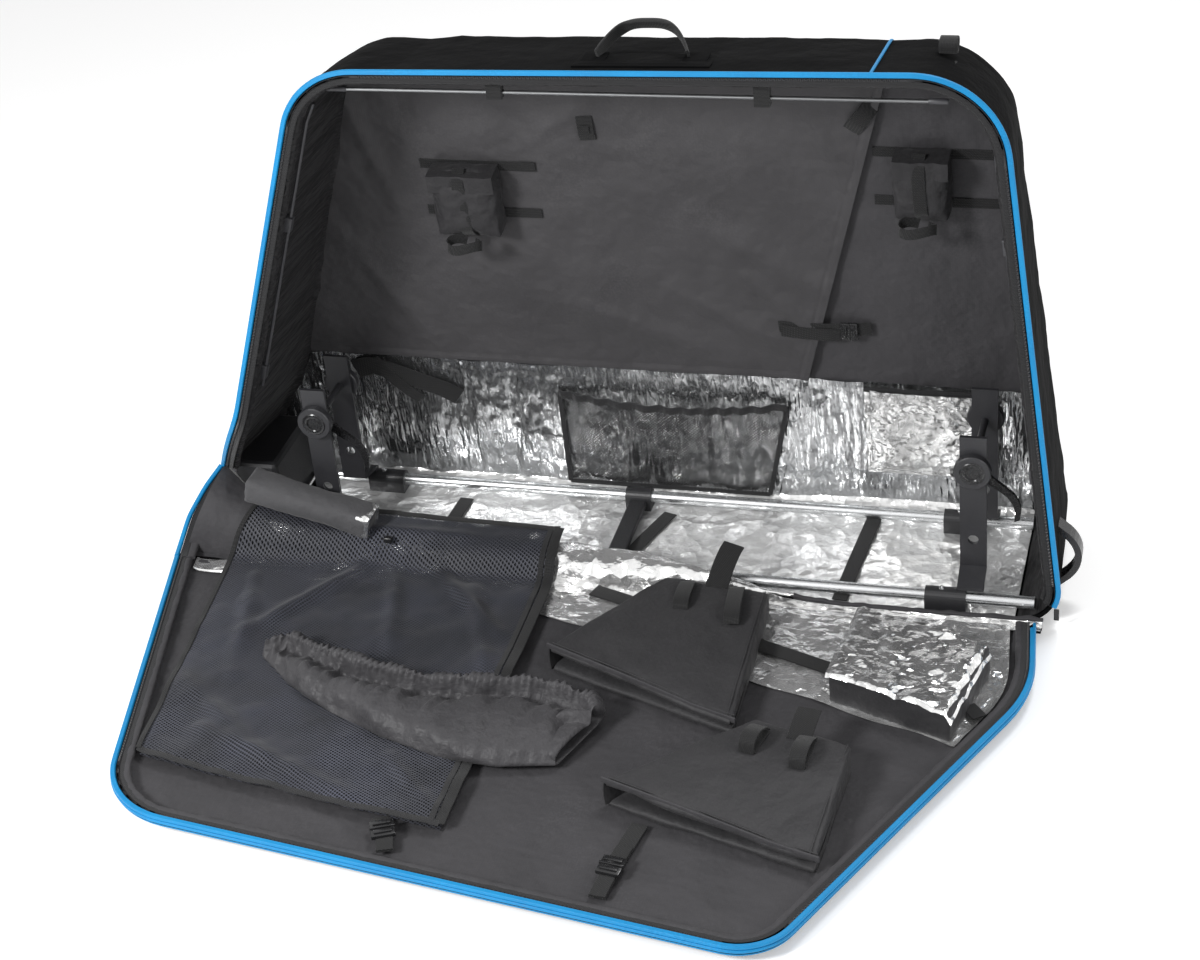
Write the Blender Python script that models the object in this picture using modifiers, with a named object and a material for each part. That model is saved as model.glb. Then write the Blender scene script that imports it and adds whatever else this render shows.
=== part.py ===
"""Travel case for a bicycle, standing on its base with the lid unzipped and folded down in front.

+X runs along the rails to the right, +Y goes from the opening to the back, +Z is up.
The origin lies on the underside of the base, at the plane of the opening.
"""

import bpy
import bmesh
from math import atan2, ceil, cos, pi, radians, sin, sqrt, tan
from mathutils import Matrix, Vector

# Shell of the body
BASE_LEFT = -0.700
BODY_LENGTH = 1.384
TOP_LENGTH = 0.999
TOP_SHIFT = 0.289
BODY_HEIGHT = 0.866
TOP_RISE = 0.020
FLOOR_DEPTH = 0.290
TOP_DEPTH = 0.188
FRONT_OVERHANG = 0.012
WALL = 0.006
KNEE_HEIGHT = 0.273
KNEE_INSET = 0.096
CORNER_TOP_LEFT = 0.125
CORNER_TOP_RIGHT = 0.130
CORNER_BASE = 0.065
BACK_INSET = 0.012
TOP_INSET = 0.022
BACK_RADIUS = 0.030
SEAM = 0.008
TOP_SEAM_FROM_RIGHT = 0.173
TOP_SEAM_FROM_LEFT = 0.141
FLOOR_LEFT = -0.604
ZIP_END = Vector((-0.690, 0.093, 0.123))
CLEAR = 0.0003
PIPING = 0.0045
TAPE_WIDTH = 0.013
TAPE = 0.002

# Lid
FOLD_SKEW = radians(12.16)
HINGE_RIGHT = Vector((0.650, -0.0343, 0.010))
LID_RIM = 0.0292
LID_SHELL = 0.006
LID_SLOPE = 0.034
LID_SIDE = 0.0198
LID_PAD = 0.005
LID_REAR = -0.030
LID_PIPING_SHORT = 0.016
LID_LEFT_REAR = 0.742
LID_LEFT_FRONT = 0.596
LID_RIGHT_REAR = 0.647
LID_RIGHT_WIDE = 0.664
LID_RIGHT_FRONT = 0.390
LID_LENGTH_LEFT = 0.651
LID_LENGTH_RIGHT = 0.788
LID_WIDE_AT = 0.200
LID_CORNER_LEFT = 0.150
LID_CORNER_RIGHT = 0.085
LID_CORNER_WIDE = 0.250
FOIL = 0.0012
FOIL_MARGIN = 0.012
LID_FOIL_LEFT = 0.100
LID_FOIL_RIGHT = 0.330

# Rails, clamps and stands
RAIL = 0.0095
RAIL_HEIGHT = 0.028
RAIL_FRONT = 0.016
RAIL_SPACING = 0.210
RAIL_LEFT = -0.585
FRONT_RAIL_SHORT = 0.044
REAR_RAIL_SHORT = 0.068
CROSS_BAR_AT = -0.024
CROSS_BAR_WIDTH = 0.028
CLAMP_LENGTH = 0.062
CLAMP = 0.0145
HUB_FROM_RIGHT = 0.140
HUB_FROM_LEFT = 0.201
STAND_STEP = 0.037
RIGHT_SPACING = 0.132
LEFT_SPACING = 0.102
POST_WIDTH = 0.040
POST = 0.006
POST_TOP = 0.292
HUB_HEIGHT = 0.237
HUB = 0.028
HUB_BORE = 0.0105
HUB_LENGTH = 0.013
SOCKET_SEAT = 0.0005
AXLE = 0.0055
LEVER_LENGTH = 0.120

# Frame of rods inside the opening
ROD = 0.003
ROD_DEPTH = 0.030
ROD_DROP = 0.040
ROD_FROM_LEFT = 0.035
ROD_FROM_RIGHT = 0.076
LOOPS_AT = (-0.123, 0.261)
LOOP = 0.022
LOOP_WALL = 0.004
ROD_INSET = 0.024
CLIPS = {"left_rod": (0.352, 0.612), "right_rod": (0.250, 0.621)}
CLIP_LENGTH = 0.026
CLIP_WIDTH = 0.014
ROD_FOOT = 0.030
ROD_END = 0.016

# Wheels at the left end
WHEEL = 0.036
WHEEL_WIDTH = 0.024
WHEEL_PIN = 0.0040
WHEEL_BORE = WHEEL_PIN + CLEAR
PIN_SEAT = 0.006
WHEEL_AT = Vector((-0.664, 0, 0.0385))
WHEELS_DEPTH = (0.140, 0.232)
HOUSING_TOP = ZIP_END.z - WALL / 2 - 3 * CLEAR
HOUSING_FRONT = 0.104
HOUSING_BACK = 0.262
HOUSING_LEFT = -0.698
WHEEL_SIDE_GAP = 0.003

# Handles and pulls
HANDLE_AT = 0.090
HANDLE_SPAN = 0.135
HANDLE_RISE = 0.058
HANDLE_WIDTH = 0.024
HANDLE_LEAN = radians(60)
HANDLE_BAND = 0.005
HANDLE_DEPTH = 0.052
HANDLE_SEAT = 0.0006
WEBBING = 0.003
BUCKLE = 0.009
LID_STRAP = 0.026
END_HANDLE_AT = 0.066
END_HANDLE_LOW = 0.042
END_HANDLE_SPAN = 0.098
END_HANDLE_REACH = 0.034
END_HANDLE_BAND = 0.010
END_HANDLE_WIDTH = 0.026
ROLL_FROM_CORNER = 0.083
ROLL_WIDTH = 0.026
ROLL_FRONT = 0.024
ROLL_LENGTH = 0.090
ROLL = 0.013
PULL_LENGTH = 0.020
PULL_WIDTH = 0.008
PULL = 0.0025

# Soft pieces on the leaning back wall, by place along it and height
FOIL_TOP = 0.258
DIVIDER_FROM_RIGHT = 0.193
DIVIDER_RUN = 0.199
DIVIDER_FOOT = 0.010
DIVIDER_RISE = 0.750
DIVIDER = 0.003
POCKET = 0.003
PAD_DEPTH = 0.045
LEFT_PAD_AT = -0.296
LEFT_PAD_LOW = 0.522
LEFT_PAD_WIDTH = 0.106
LEFT_PAD_LENGTH = 0.115
RIGHT_PAD_GAP = 0.0386
RIGHT_PAD_LOW = 0.582
RIGHT_PAD_WIDTH = 0.082
RIGHT_PAD_LENGTH = 0.104
MESH_POCKET_AT = [(-0.150, 0.206), (-0.154, 0.022), (0.185, 0.022), (0.226, 0.206)]
FOIL_POCKET_GAP = 0.0893
FOIL_POCKET_FROM_RIGHT = 0.127
FOIL_POCKET_LOW = 0.083
FOIL_POCKET_HIGH = 0.250
BELT_AT = [(-0.500, 0.232), (-0.452, 0.252), (-0.330, 0.205), (-0.322, 0.165), (-0.420, 0.196)]
FOIL_POCKET = 0.006
BELT = 0.008

# Loose pieces on the lid
MESH_BAG_AT = [(-0.640, -0.032), (-0.660, -0.045), (-0.565, -0.505), (-0.100, -0.610), (-0.108, -0.032)]
COVER_1_AT = [(-0.045, -0.236), (0.087, -0.030), (0.253, -0.052), (0.256, -0.344)]
COVER_2_AT = [(0.113, -0.520), (0.292, -0.348), (0.436, -0.390), (0.425, -0.610)]
FOIL_BOX_AT = [(0.392, -0.078), (0.598, -0.150), (0.560, -0.318), (0.372, -0.248)]
GATHERED_AT = [(-0.500, -0.283), (-0.470, -0.238), (-0.350, -0.262), (-0.238, -0.280),
               (-0.100, -0.300), (0.013, -0.317), (0.066, -0.372), (0.024, -0.490),
               (-0.160, -0.496), (-0.324, -0.424)]
COVER_HEIGHT = 0.046
BOX_HEIGHT = 0.055
GATHER_HEIGHT = 0.046
MESH_BAG = 0.010
TUBE_PAD = ((-0.612, 0.016, 0.1388), (-0.408, 0.010, 0.0868))
TUBE_PAD_WIDTH = 0.056
TUBE_PAD_HEIGHT = 0.046
TUBE_PAD_EDGE = 0.010

MATERIALS = {
    "outer_fabric": ((0.012, 0.012, 0.013), 0.75, 0.0),
    "lining": ((0.060, 0.058, 0.060), 0.80, 0.0),
    "foil": ((0.75, 0.76, 0.77), 0.22, 1.0),
    "piping": ((0.01, 0.36, 0.78), 0.50, 0.0),
    "webbing": ((0.015, 0.015, 0.016), 0.80, 0.0),
    "aluminium": ((0.62, 0.64, 0.65), 0.32, 1.0),
    "black_metal": ((0.03, 0.03, 0.032), 0.40, 0.6),
    "black_plastic": ((0.02, 0.02, 0.022), 0.45, 0.0),
    "mesh": ((0.03, 0.032, 0.045), 0.80, 0.0),
    "rubber": ((0.02, 0.02, 0.02), 0.85, 0.0),
    "rod": ((0.05, 0.05, 0.055), 0.45, 0.0),
}


def clear_scene():
    for old in list(bpy.data.objects):
        bpy.data.objects.remove(old, do_unlink=True)


def make_materials():
    made = {}
    for name, (colour, roughness, metallic) in MATERIALS.items():
        mat = bpy.data.materials.new(name)
        mat.use_nodes = True
        shader = mat.node_tree.nodes["Principled BSDF"]
        shader.inputs["Base Color"].default_value = (*colour, 1)
        shader.inputs["Roughness"].default_value = roughness
        shader.inputs["Metallic"].default_value = metallic
        made[name] = mat
    return made


clear_scene()
PARTS = bpy.data.collections.new("bike_travel_case")
CUTTERS = bpy.data.collections.new("cutters")
bpy.context.scene.collection.children.link(PARTS)
bpy.context.scene.collection.children.link(CUTTERS)
MATERIAL = make_materials()


def keep(obj, name, material):
    """Name an object, move it to the parts' collection and give it its own material."""
    obj.name = name
    for collection in list(obj.users_collection):
        collection.objects.unlink(obj)
    PARTS.objects.link(obj)
    obj.data.materials.clear()
    obj.data.materials.append(MATERIAL[material])
    return obj


def mesh_object(name, bm, material):
    """An object from a bmesh, with its faces turned outwards."""
    bmesh.ops.recalc_face_normals(bm, faces=bm.faces)
    data = bpy.data.meshes.new(name)
    bm.to_mesh(data)
    bm.free()
    obj = bpy.data.objects.new(name, data)
    bpy.context.scene.collection.objects.link(obj)
    return keep(obj, name, material)


def axes_matrix(origin, along, across):
    """A placing whose local X and Y are the two directions given, at right angles."""
    x = Vector(along).normalized()
    z = x.cross(Vector(across)).normalized()
    y = z.cross(x)
    turn = Matrix((x, y, z)).transposed().to_4x4()
    return Matrix.Translation(Vector(origin)) @ turn


FLAT = Matrix.Identity(4)


def slab(name, outline, thickness, material, place=FLAT):
    """A flat outline with its lower face on the placing's XY plane, as a filled 2D curve."""
    curve = bpy.data.curves.new(name, "CURVE")
    curve.dimensions = "2D"
    curve.fill_mode = "BOTH"
    curve.extrude = thickness / 2
    spline = curve.splines.new("POLY")
    spline.points.add(len(outline) - 1)
    for point, (x, y) in zip(spline.points, outline):
        point.co = (x, y, 0, 1)
    spline.use_cyclic_u = True
    obj = bpy.data.objects.new(name, curve)
    bpy.context.scene.collection.objects.link(obj)
    obj.matrix_world = place @ Matrix.Translation((0, 0, thickness / 2))
    return keep(obj, name, material)


def tube(name, points, radius, material, sides=2):
    """A round tube along points, with its ends closed."""
    curve = bpy.data.curves.new(name, "CURVE")
    curve.dimensions = "3D"
    curve.bevel_depth = radius
    curve.bevel_resolution = sides
    curve.use_fill_caps = True
    spline = curve.splines.new("POLY")
    spline.points.add(len(points) - 1)
    for point, place in zip(spline.points, points):
        point.co = (*place, 1)
    obj = bpy.data.objects.new(name, curve)
    bpy.context.scene.collection.objects.link(obj)
    return keep(obj, name, material)


def block(name, low, high, material, bevel=0.0, place=FLAT):
    """A box between two corners, with rounded edges when a bevel is given."""
    bm = bmesh.new()
    size = Vector(high) - Vector(low)
    middle = (Vector(high) + Vector(low)) / 2
    bmesh.ops.create_cube(bm, size=1)
    bmesh.ops.scale(bm, vec=size, verts=bm.verts)
    bmesh.ops.translate(bm, vec=middle, verts=bm.verts)
    obj = mesh_object(name, bm, material)
    obj.matrix_world = place
    if bevel:
        edge = obj.modifiers.new("edges", "BEVEL")
        edge.width = bevel
        edge.segments = 2
    return obj


def rod_between(name, start, end, radius, material, sides=24):
    """A solid cylinder between two points."""
    start, end = Vector(start), Vector(end)
    bm = bmesh.new()
    bmesh.ops.create_cone(bm, cap_ends=True, segments=sides, radius1=radius, radius2=radius,
                          depth=(end - start).length)
    turn = (end - start).to_track_quat("Z", "Y").to_matrix().to_4x4()
    bmesh.ops.transform(bm, matrix=Matrix.Translation((start + end) / 2) @ turn, verts=bm.verts)
    return mesh_object(name, bm, material)


def as_mesh(obj):
    """The evaluated shape of an object as a plain mesh at the world's origin."""
    bpy.context.view_layer.update()
    graph = bpy.context.evaluated_depsgraph_get()
    shape = obj.evaluated_get(graph)
    data = bpy.data.meshes.new_from_object(shape, depsgraph=graph)
    data.transform(obj.matrix_world)
    bm = bmesh.new()
    bm.from_mesh(data)
    bmesh.ops.remove_doubles(bm, verts=bm.verts, dist=0.00002)
    bmesh.ops.recalc_face_normals(bm, faces=bm.faces)
    bm.to_mesh(data)
    bm.free()
    name, material = obj.name, obj.data.materials[0].name
    bpy.data.objects.remove(obj, do_unlink=True)
    made = bpy.data.objects.new(name, data)
    bpy.context.scene.collection.objects.link(made)
    return keep(made, name, material)


def cut(obj, cutter, operation="DIFFERENCE"):
    """Boolean with a cutter that is kept out of the model."""
    cutter = as_mesh(cutter)
    for collection in list(cutter.users_collection):
        collection.objects.unlink(cutter)
    CUTTERS.objects.link(cutter)
    cutter.hide_render = True
    cutter.display_type = "WIRE"
    step = obj.modifiers.new(cutter.name, "BOOLEAN")
    step.object = cutter
    step.operation = operation
    step.solver = "EXACT"
    return obj


def join(name, base, others):
    """One body from a piece and the pieces fixed to it, which reach into it a little."""
    base = as_mesh(base)
    for other in others:
        cut(base, other, "UNION")
    base.name = name
    return base


def arc_corners(corners, step=radians(18)):
    """Points of an open path whose inner corners are rounded: corners are (x, y, radius)."""
    points = [Vector(corners[0][:2])]
    for before, here, after in zip(corners, corners[1:], corners[2:]):
        corner, radius = Vector(here[:2]), here[2]
        back = (Vector(before[:2]) - corner).normalized()
        on = (Vector(after[:2]) - corner).normalized()
        if not radius:
            points.append(corner)
            continue
        half = back.angle(on) / 2
        centre = corner + (back + on).normalized() * radius / sin(half)
        start = corner + back * radius / tan(half) - centre
        end = corner + on * radius / tan(half) - centre
        sweep = start.angle_signed(end)
        count = max(2, ceil(abs(sweep) / step))
        for n in range(count + 1):
            turn = Matrix.Rotation(-sweep * n / count, 2)
            points.append(centre + turn @ start)
    points.append(Vector(corners[-1][:2]))
    return points


def split_path(points, longest):
    """The same path with its long straight stretches divided."""
    made = [points[0]]
    for a, b in zip(points, points[1:]):
        count = max(1, ceil((b - a).length / longest))
        for n in range(1, count + 1):
            made.append(a.lerp(b, n / count))
    return made


def path_normals(points):
    """Unit normals to the left of an open 2D path."""
    made = []
    for n in range(len(points)):
        a = points[max(n - 1, 0)]
        b = points[min(n + 1, len(points) - 1)]
        run = (b - a).normalized()
        made.append(Vector((-run.y, run.x)))
    return made


def outline_normals():
    """Outward normals of the body's outline, level at the zip's end and straight down along the base."""
    made = path_normals(OUTLINE)
    made[0] = Vector((-1, 0))
    return [Vector((0, -1)) if p.y < 0.0005 else n for p, n in zip(OUTLINE, made)]


def offset_path(points, distance):
    """A 2D path moved sideways, to its left when the distance is positive."""
    return [p + n * distance for p, n in zip(points, path_normals(points))]


def sheet(name, rows, thickness, material):
    """A solid wall on a grid of points: rows of equal length, thickened to one side."""
    bm = bmesh.new()
    grid = [[bm.verts.new(p) for p in row] for row in rows]
    for low, high in zip(grid, grid[1:]):
        for a, b, c, d in zip(low, low[1:], high[1:], high):
            bm.faces.new((a, b, c, d))
    data = bpy.data.meshes.new(name)
    bm.to_mesh(data)
    bm.free()
    obj = bpy.data.objects.new(name, data)
    bpy.context.scene.collection.objects.link(obj)
    wall = obj.modifiers.new("thickness", "SOLIDIFY")
    wall.thickness = abs(thickness)
    wall.offset = -1 if thickness > 0 else 1
    wall.use_even_offset = True
    return keep(obj, name, material)


def pivot_at(name, location, axis=None):
    """An empty on a joint's axis, its X along the axis when one is given."""
    pivot = bpy.data.objects.new(name, None)
    bpy.context.scene.collection.objects.link(pivot)
    pivot.location = location
    if axis:
        pivot.rotation_mode = "QUATERNION"
        pivot.rotation_quaternion = Vector(axis).to_track_quat("X", "Z")
    return pivot


def hang_on(obj, pivot):
    """Parent a piece to its joint's empty without moving it."""
    bpy.context.view_layer.update()
    obj.parent = pivot
    obj.matrix_parent_inverse = pivot.matrix_world.inverted()


# Outline of the body, seen from the front
BASE_RIGHT = BASE_LEFT + BODY_LENGTH
TOP_LEFT = BASE_LEFT + TOP_SHIFT
TOP_RIGHT = TOP_LEFT + TOP_LENGTH
KNEE = Vector((BASE_LEFT + KNEE_INSET, KNEE_HEIGHT))
TOP_SEAM_RIGHT = TOP_RIGHT - TOP_SEAM_FROM_RIGHT
TOP_SEAM_LEFT = TOP_LEFT + TOP_SEAM_FROM_LEFT
FRONT_RAIL_RIGHT = BASE_RIGHT - FRONT_RAIL_SHORT
REAR_RAIL_RIGHT = BASE_RIGHT - REAR_RAIL_SHORT
RIGHT_HUB_AT = BASE_RIGHT - HUB_FROM_RIGHT
LEFT_HUB_AT = BASE_LEFT + HUB_FROM_LEFT
ROD_LEFT = TOP_LEFT + ROD_FROM_LEFT
ROD_RIGHT = TOP_RIGHT - ROD_FROM_RIGHT
ROD_HEIGHT = BODY_HEIGHT - ROD_DROP
DIVIDER_TOP_X = TOP_RIGHT - DIVIDER_FROM_RIGHT
DIVIDER_FOOT_X = DIVIDER_TOP_X - DIVIDER_RUN
LEAN = (FLOOR_DEPTH - TOP_DEPTH) / BODY_HEIGHT
FLOOR_FRONT = -FRONT_OVERHANG


def depth_at(height):
    """Outer face of the back wall, which leans forward towards the top."""
    return FLOOR_DEPTH - LEAN * height


def rim_front(point):
    """Where the wall starts at the opening: the lower left of the rim draws back to the zip's end."""
    if point.x > 0 or point.y >= KNEE_HEIGHT:
        return 0.0
    share = (KNEE_HEIGHT - point.y) / (KNEE_HEIGHT - ZIP_END.z)
    return ZIP_END.y * share ** 1.4


OUTLINE = arc_corners([
    (ZIP_END.x, ZIP_END.z, 0),
    (KNEE.x, KNEE.y, 0.20),
    (TOP_LEFT, BODY_HEIGHT, CORNER_TOP_LEFT),
    (TOP_RIGHT, BODY_HEIGHT + TOP_RISE, CORNER_TOP_RIGHT),
    (BASE_RIGHT, 0, CORNER_BASE),
    (FLOOR_LEFT, 0, 0),
])
OUTLINE = split_path(OUTLINE, 0.12)


def along_top(x):
    """Height of the outline's top edge."""
    return BODY_HEIGHT + TOP_RISE * (x - TOP_LEFT) / TOP_LENGTH


def back_inset(normal):
    """How far the walls draw in towards the back: a little at the ends, more at the top."""
    return BACK_INSET * abs(normal.x) + (TOP_INSET * normal.y if normal.y > 0 else 0)


def first_index(points, test):
    return next(n for n, p in enumerate(points) if test(p))


def add_seam(points, x):
    """Put a point of the top edge at x, so that two panels can meet there."""
    at = first_index(points, lambda p: p.x > x and p.y > BODY_HEIGHT / 2)
    points.insert(at, Vector((x, along_top(x))))
    return at


def top_flat(x):
    """Height of the outline above x and its slope there, its rounded corners included."""
    a, b = next((a, b) for a, b in zip(OUTLINE, OUTLINE[1:]) if a.x <= x <= b.x)
    slope = (b.y - a.y) / (b.x - a.x)
    return a.y + slope * (x - a.x), slope


def top_surface(x, y):
    """Height of the top's outer face, which slopes down towards the back."""
    return along_top(x) - TOP_FALL * y


TOP_FALL = TOP_INSET / (TOP_DEPTH - BACK_RADIUS)
LEFT_SEAM = add_seam(OUTLINE, TOP_SEAM_LEFT)
RIGHT_SEAM = add_seam(OUTLINE, TOP_SEAM_RIGHT)
FLOOR_SEAM = first_index(OUTLINE, lambda p: p.x > 0 and p.y < 0.0005) + 1
OUTLINE.insert(FLOOR_SEAM, OUTLINE[FLOOR_SEAM - 1] - Vector((SEAM, 0)))


def wall_rows(points, normals, floor=False):
    """Rows of a wall from the opening to the back, where it turns in with a round edge."""
    turn_steps = 4
    rows = [[] for _ in range(turn_steps + 4)]
    for p, n in zip(points, normals):
        start = FLOOR_FRONT if floor else rim_front(p)
        inset = back_inset(n)
        side = Vector((n.x, 0, n.y))
        base = Vector((p.x, 0, p.y))
        end = depth_at(p.y - n.y * (inset + BACK_RADIUS))
        middle = (start + end - BACK_RADIUS) / 2
        rows[0].append(base + Vector((0, start, 0)))
        rows[1].append(base - side * inset / 2 + Vector((0, middle, 0)))
        rows[2].append(base - side * inset + Vector((0, end - BACK_RADIUS, 0)))
        for k in range(turn_steps):
            angle = pi / 2 * (k + 1) / turn_steps
            inward = inset + BACK_RADIUS * (1 - cos(angle))
            back = end - BACK_RADIUS + BACK_RADIUS * sin(angle)
            rows[3 + k].append(base - side * inward + Vector((0, back, 0)))
        last = inset + BACK_RADIUS + SEAM
        rows[-1].append(base - side * last + Vector((0, depth_at(p.y - n.y * last), 0)))
    return rows


def make_walls():
    """Base, two ends and top of the body, each a padded panel cut at the seams."""
    normals = outline_normals()
    spans = {
        "left_wall": (0, LEFT_SEAM),
        "top_wall": (LEFT_SEAM, RIGHT_SEAM),
        "right_wall": (RIGHT_SEAM, FLOOR_SEAM),
        "floor_panel": (FLOOR_SEAM, len(OUTLINE) - 1),
    }
    for name, (first, last) in spans.items():
        points = OUTLINE[first:last + 1]
        sides = normals[first:last + 1]
        points, sides = trim_ends(points, sides, first, last)
        rows = wall_rows(points, sides, floor=name == "floor_panel")
        sheet(name, rows, WALL, "outer_fabric")


def trim_ends(points, sides, first, last):
    """Leave the gap between two sewn panels at each seam."""
    points = list(points)
    if first:
        points[0] = points[0] + (points[1] - points[0]).normalized() * CLEAR / 2
    if last < len(OUTLINE) - 1:
        points[-1] = points[-1] + (points[-2] - points[-1]).normalized() * CLEAR / 2
    return points, sides


LEAN_PLACE = axes_matrix((0, FLOOR_DEPTH, 0), (1, 0, 0), (0, -LEAN, 1))
LEAN_SCALE = sqrt(1 + LEAN ** 2)


def lean_place(off):
    """Placing on the back wall, raised off its outer face: X along, Y up the slope."""
    return LEAN_PLACE @ Matrix.Translation((0, 0, off))


def on_lean(points):
    """Points given as (x, height) on the slope of the back wall."""
    return [(x, height * LEAN_SCALE) for x, height in points]


def back_slab(name, points, off, thickness, material):
    """A sheet on the back wall, its rear face the given distance in from the wall's inner face."""
    return slab(name, on_lean(points), thickness, material, lean_place(WALL + off))


def back_outline(inward):
    """Outline of the body drawn in by a distance, closed along the floor and over the wheels."""
    drawn = []
    for p, n in zip(OUTLINE, outline_normals()):
        side = inward + back_inset(n)
        drawn.append(Vector((p.x - n.x * side, p.y - n.y * side)))
    return drawn


def make_back_panel():
    inward = BACK_RADIUS + SEAM + CLEAR
    drawn = back_outline(inward)
    return slab("back_panel", on_lean(drawn), WALL, "outer_fabric", lean_place(0))


def rim_path(out=0.0, forward=0.0):
    """The edge of the opening in space, from the zip's left end round to its right end."""
    last = first_index(OUTLINE, lambda p: p.x > 0 and p.y < 0.030)
    points = OUTLINE[:last]
    normals = path_normals(OUTLINE)
    path = []
    for k, (p, n) in enumerate(zip(points, normals)):
        before, after = OUTLINE[max(k - 1, 0)], OUTLINE[k + 1]
        slope = (rim_front(after) - rim_front(before)) / (after - before).length
        front = rim_front(p) - forward * sqrt(1 + slope ** 2)
        path.append(Vector((p.x + n.x * out, front, p.y + n.y * out)))
    return path


def make_body_trim():
    """Piping round the opening, and the zip's tape inside it."""
    tube("body_piping", rim_path(0, PIPING + CLEAR), PIPING, "piping")
    inner = PIPING + CLEAR * 2
    rows = [rim_path(-inner - TAPE_WIDTH * k / 2, PIPING) for k in range(3)]
    sheet("body_zip", rows, TAPE, "webbing")


# Lid, as it lies on the floor: it closes about the tilted fold line
HINGE_AXIS = Vector((-(1 + cos(FOLD_SKEW)), sin(FOLD_SKEW), sin(FOLD_SKEW))).normalized()

LID_PIVOT = pivot_at("lid_axis", HINGE_RIGHT, HINGE_AXIS)
LID_PATH = arc_corners([
    (-LID_LEFT_REAR, LID_REAR, 0),
    (-LID_LEFT_FRONT, -LID_LENGTH_LEFT, LID_CORNER_LEFT),
    (LID_RIGHT_FRONT, -LID_LENGTH_RIGHT, LID_CORNER_RIGHT),
    (LID_RIGHT_WIDE, -LID_WIDE_AT, LID_CORNER_WIDE),
    (LID_RIGHT_REAR, LID_REAR, 0),
])
LID_PATH = split_path(LID_PATH, 0.15)


def lid_outline(inward):
    """Outline of the lid on the floor, drawn in on its three free sides."""
    return reach_rear(offset_path(LID_PATH, inward), LID_REAR)


def reach_rear(points, rear):
    """The same path with its first and last stretch ended on a line across the rear."""
    made = list(points)
    for end, inner in ((0, 1), (-1, -2)):
        run = points[end] - points[inner]
        made[end] = points[inner] + run * (rear - points[inner].y) / run.y
    return made


def height_place(height):
    return Matrix.Translation((0, 0, height))


LINING_TOP = LID_SHELL + CLEAR + LID_PAD
LID_ANGLE = atan2(LID_SIDE, LID_SLOPE)


def lid_foil_edge(x):
    """Front edge of the lid's foil strip, which widens to the right."""
    left, right = -LID_LEFT_REAR, LID_RIGHT_REAR
    share = (x - left) / (right - left)
    return LID_FOIL_EDGE_LEFT + (LID_FOIL_EDGE_RIGHT - LID_FOIL_EDGE_LEFT) * share


LID_FOIL_EDGE_LEFT = LID_REAR - LID_FOIL_LEFT * 0.35
LID_FOIL_EDGE_RIGHT = LID_REAR - LID_FOIL_RIGHT


def slope_inset(raised, height):
    """How far in the tray's sloping side has come at a height, on a surface raised off its outside."""
    return LID_SLOPE + raised / sin(LID_ANGLE) - height / tan(LID_ANGLE)


def dish(name, top_in, top, foot_in, foot, thickness, material):
    """A shallow tray, open at the rear: flat sheet with sloping sides, thickened upwards."""
    bm = bmesh.new()
    rim = [bm.verts.new((*p, top)) for p in lid_outline(top_in)]
    base = [bm.verts.new((*p, foot)) for p in lid_outline(foot_in)]
    for a, b, c, d in zip(rim, rim[1:], base[1:], base):
        bm.faces.new((d, c, b, a))
    bm.faces.new(base)
    data = bpy.data.meshes.new(name)
    bmesh.ops.recalc_face_normals(bm, faces=bm.faces)
    lowest = min(bm.faces, key=lambda f: f.calc_center_median().z)
    if lowest.normal.z > 0:
        bmesh.ops.reverse_faces(bm, faces=bm.faces)
    bm.to_mesh(data)
    bm.free()
    obj = bpy.data.objects.new(name, data)
    bpy.context.scene.collection.objects.link(obj)
    wall = obj.modifiers.new("thickness", "SOLIDIFY")
    wall.thickness = thickness
    wall.use_even_offset = True
    return keep(obj, name, material)


def make_lid():
    """Tray of the lid: a padded shell with a raised border on three sides, lining and trims."""
    shell = dish("lid_shell", 0, LID_SIDE, LID_SLOPE, 0, LID_SHELL, "outer_fabric")
    raised = LID_SHELL + CLEAR
    lining_side = LID_SIDE + (LID_SHELL - LID_PAD) * cos(LID_ANGLE)
    lining = dish("lid_lining", slope_inset(raised, lining_side), lining_side,
                  slope_inset(raised, raised), raised, LID_PAD, "lining")
    inner = lid_outline(slope_inset(LINING_TOP, LINING_TOP) + CLEAR)
    strip = cross_clip(inner, lambda p: p.y - lid_foil_edge(p.x))
    foil = slab("lid_foil", strip, FOIL, "foil", height_place(LINING_TOP + CLEAR))
    seam = reach_rear(offset_path(LID_PATH, PIPING), LID_REAR - LID_PIPING_SHORT)
    rim = [Vector((*p, LID_RIM)) for p in seam]
    piping = tube("lid_piping", rim, PIPING, "piping")
    tape_out = offset_path(LID_PATH, 2 * PIPING + CLEAR)
    tape_in = offset_path(LID_PATH, 2 * PIPING + CLEAR + TAPE_WIDTH)
    level = height_place(LID_RIM - PIPING + 2 * CLEAR)
    tape = slab("lid_zip", tape_out + tape_in[::-1], TAPE, "webbing", level)
    for obj in (shell, lining, foil, piping, tape):
        hang_on(obj, LID_PIVOT)


def strap_outline(start, end, width):
    """Four corners of a flat strap between two points."""
    start, end = Vector(start), Vector(end)
    side = (end - start).orthogonal().normalized() * width / 2
    return [start - side, end - side, end + side, start + side]


def make_lid_straps():
    """Two short straps with buckles near the lid's front edge."""
    level = height_place(LINING_TOP + CLEAR)
    for name, start, end in (("lid_strap_left", (-0.187, -0.612), (-0.165, -0.652)),
                             ("lid_strap_right", (0.167, -0.565), (0.149, -0.682))):
        strap = slab(name, strap_outline(start, end, LID_STRAP), WEBBING, "webbing", level)
        run = Vector(end) - Vector(start)
        place = Vector(start).lerp(Vector(end), 0.55)
        half = run.normalized() * LID_STRAP / 2
        raised = height_place(LINING_TOP + WEBBING)
        buckle = slab(f"{name}_buckle", strap_outline(place - half, place + half, LID_STRAP * 1.3),
                      BUCKLE, "webbing", raised)
        hang_on(join(name, strap, [buckle]), LID_PIVOT)


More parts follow.
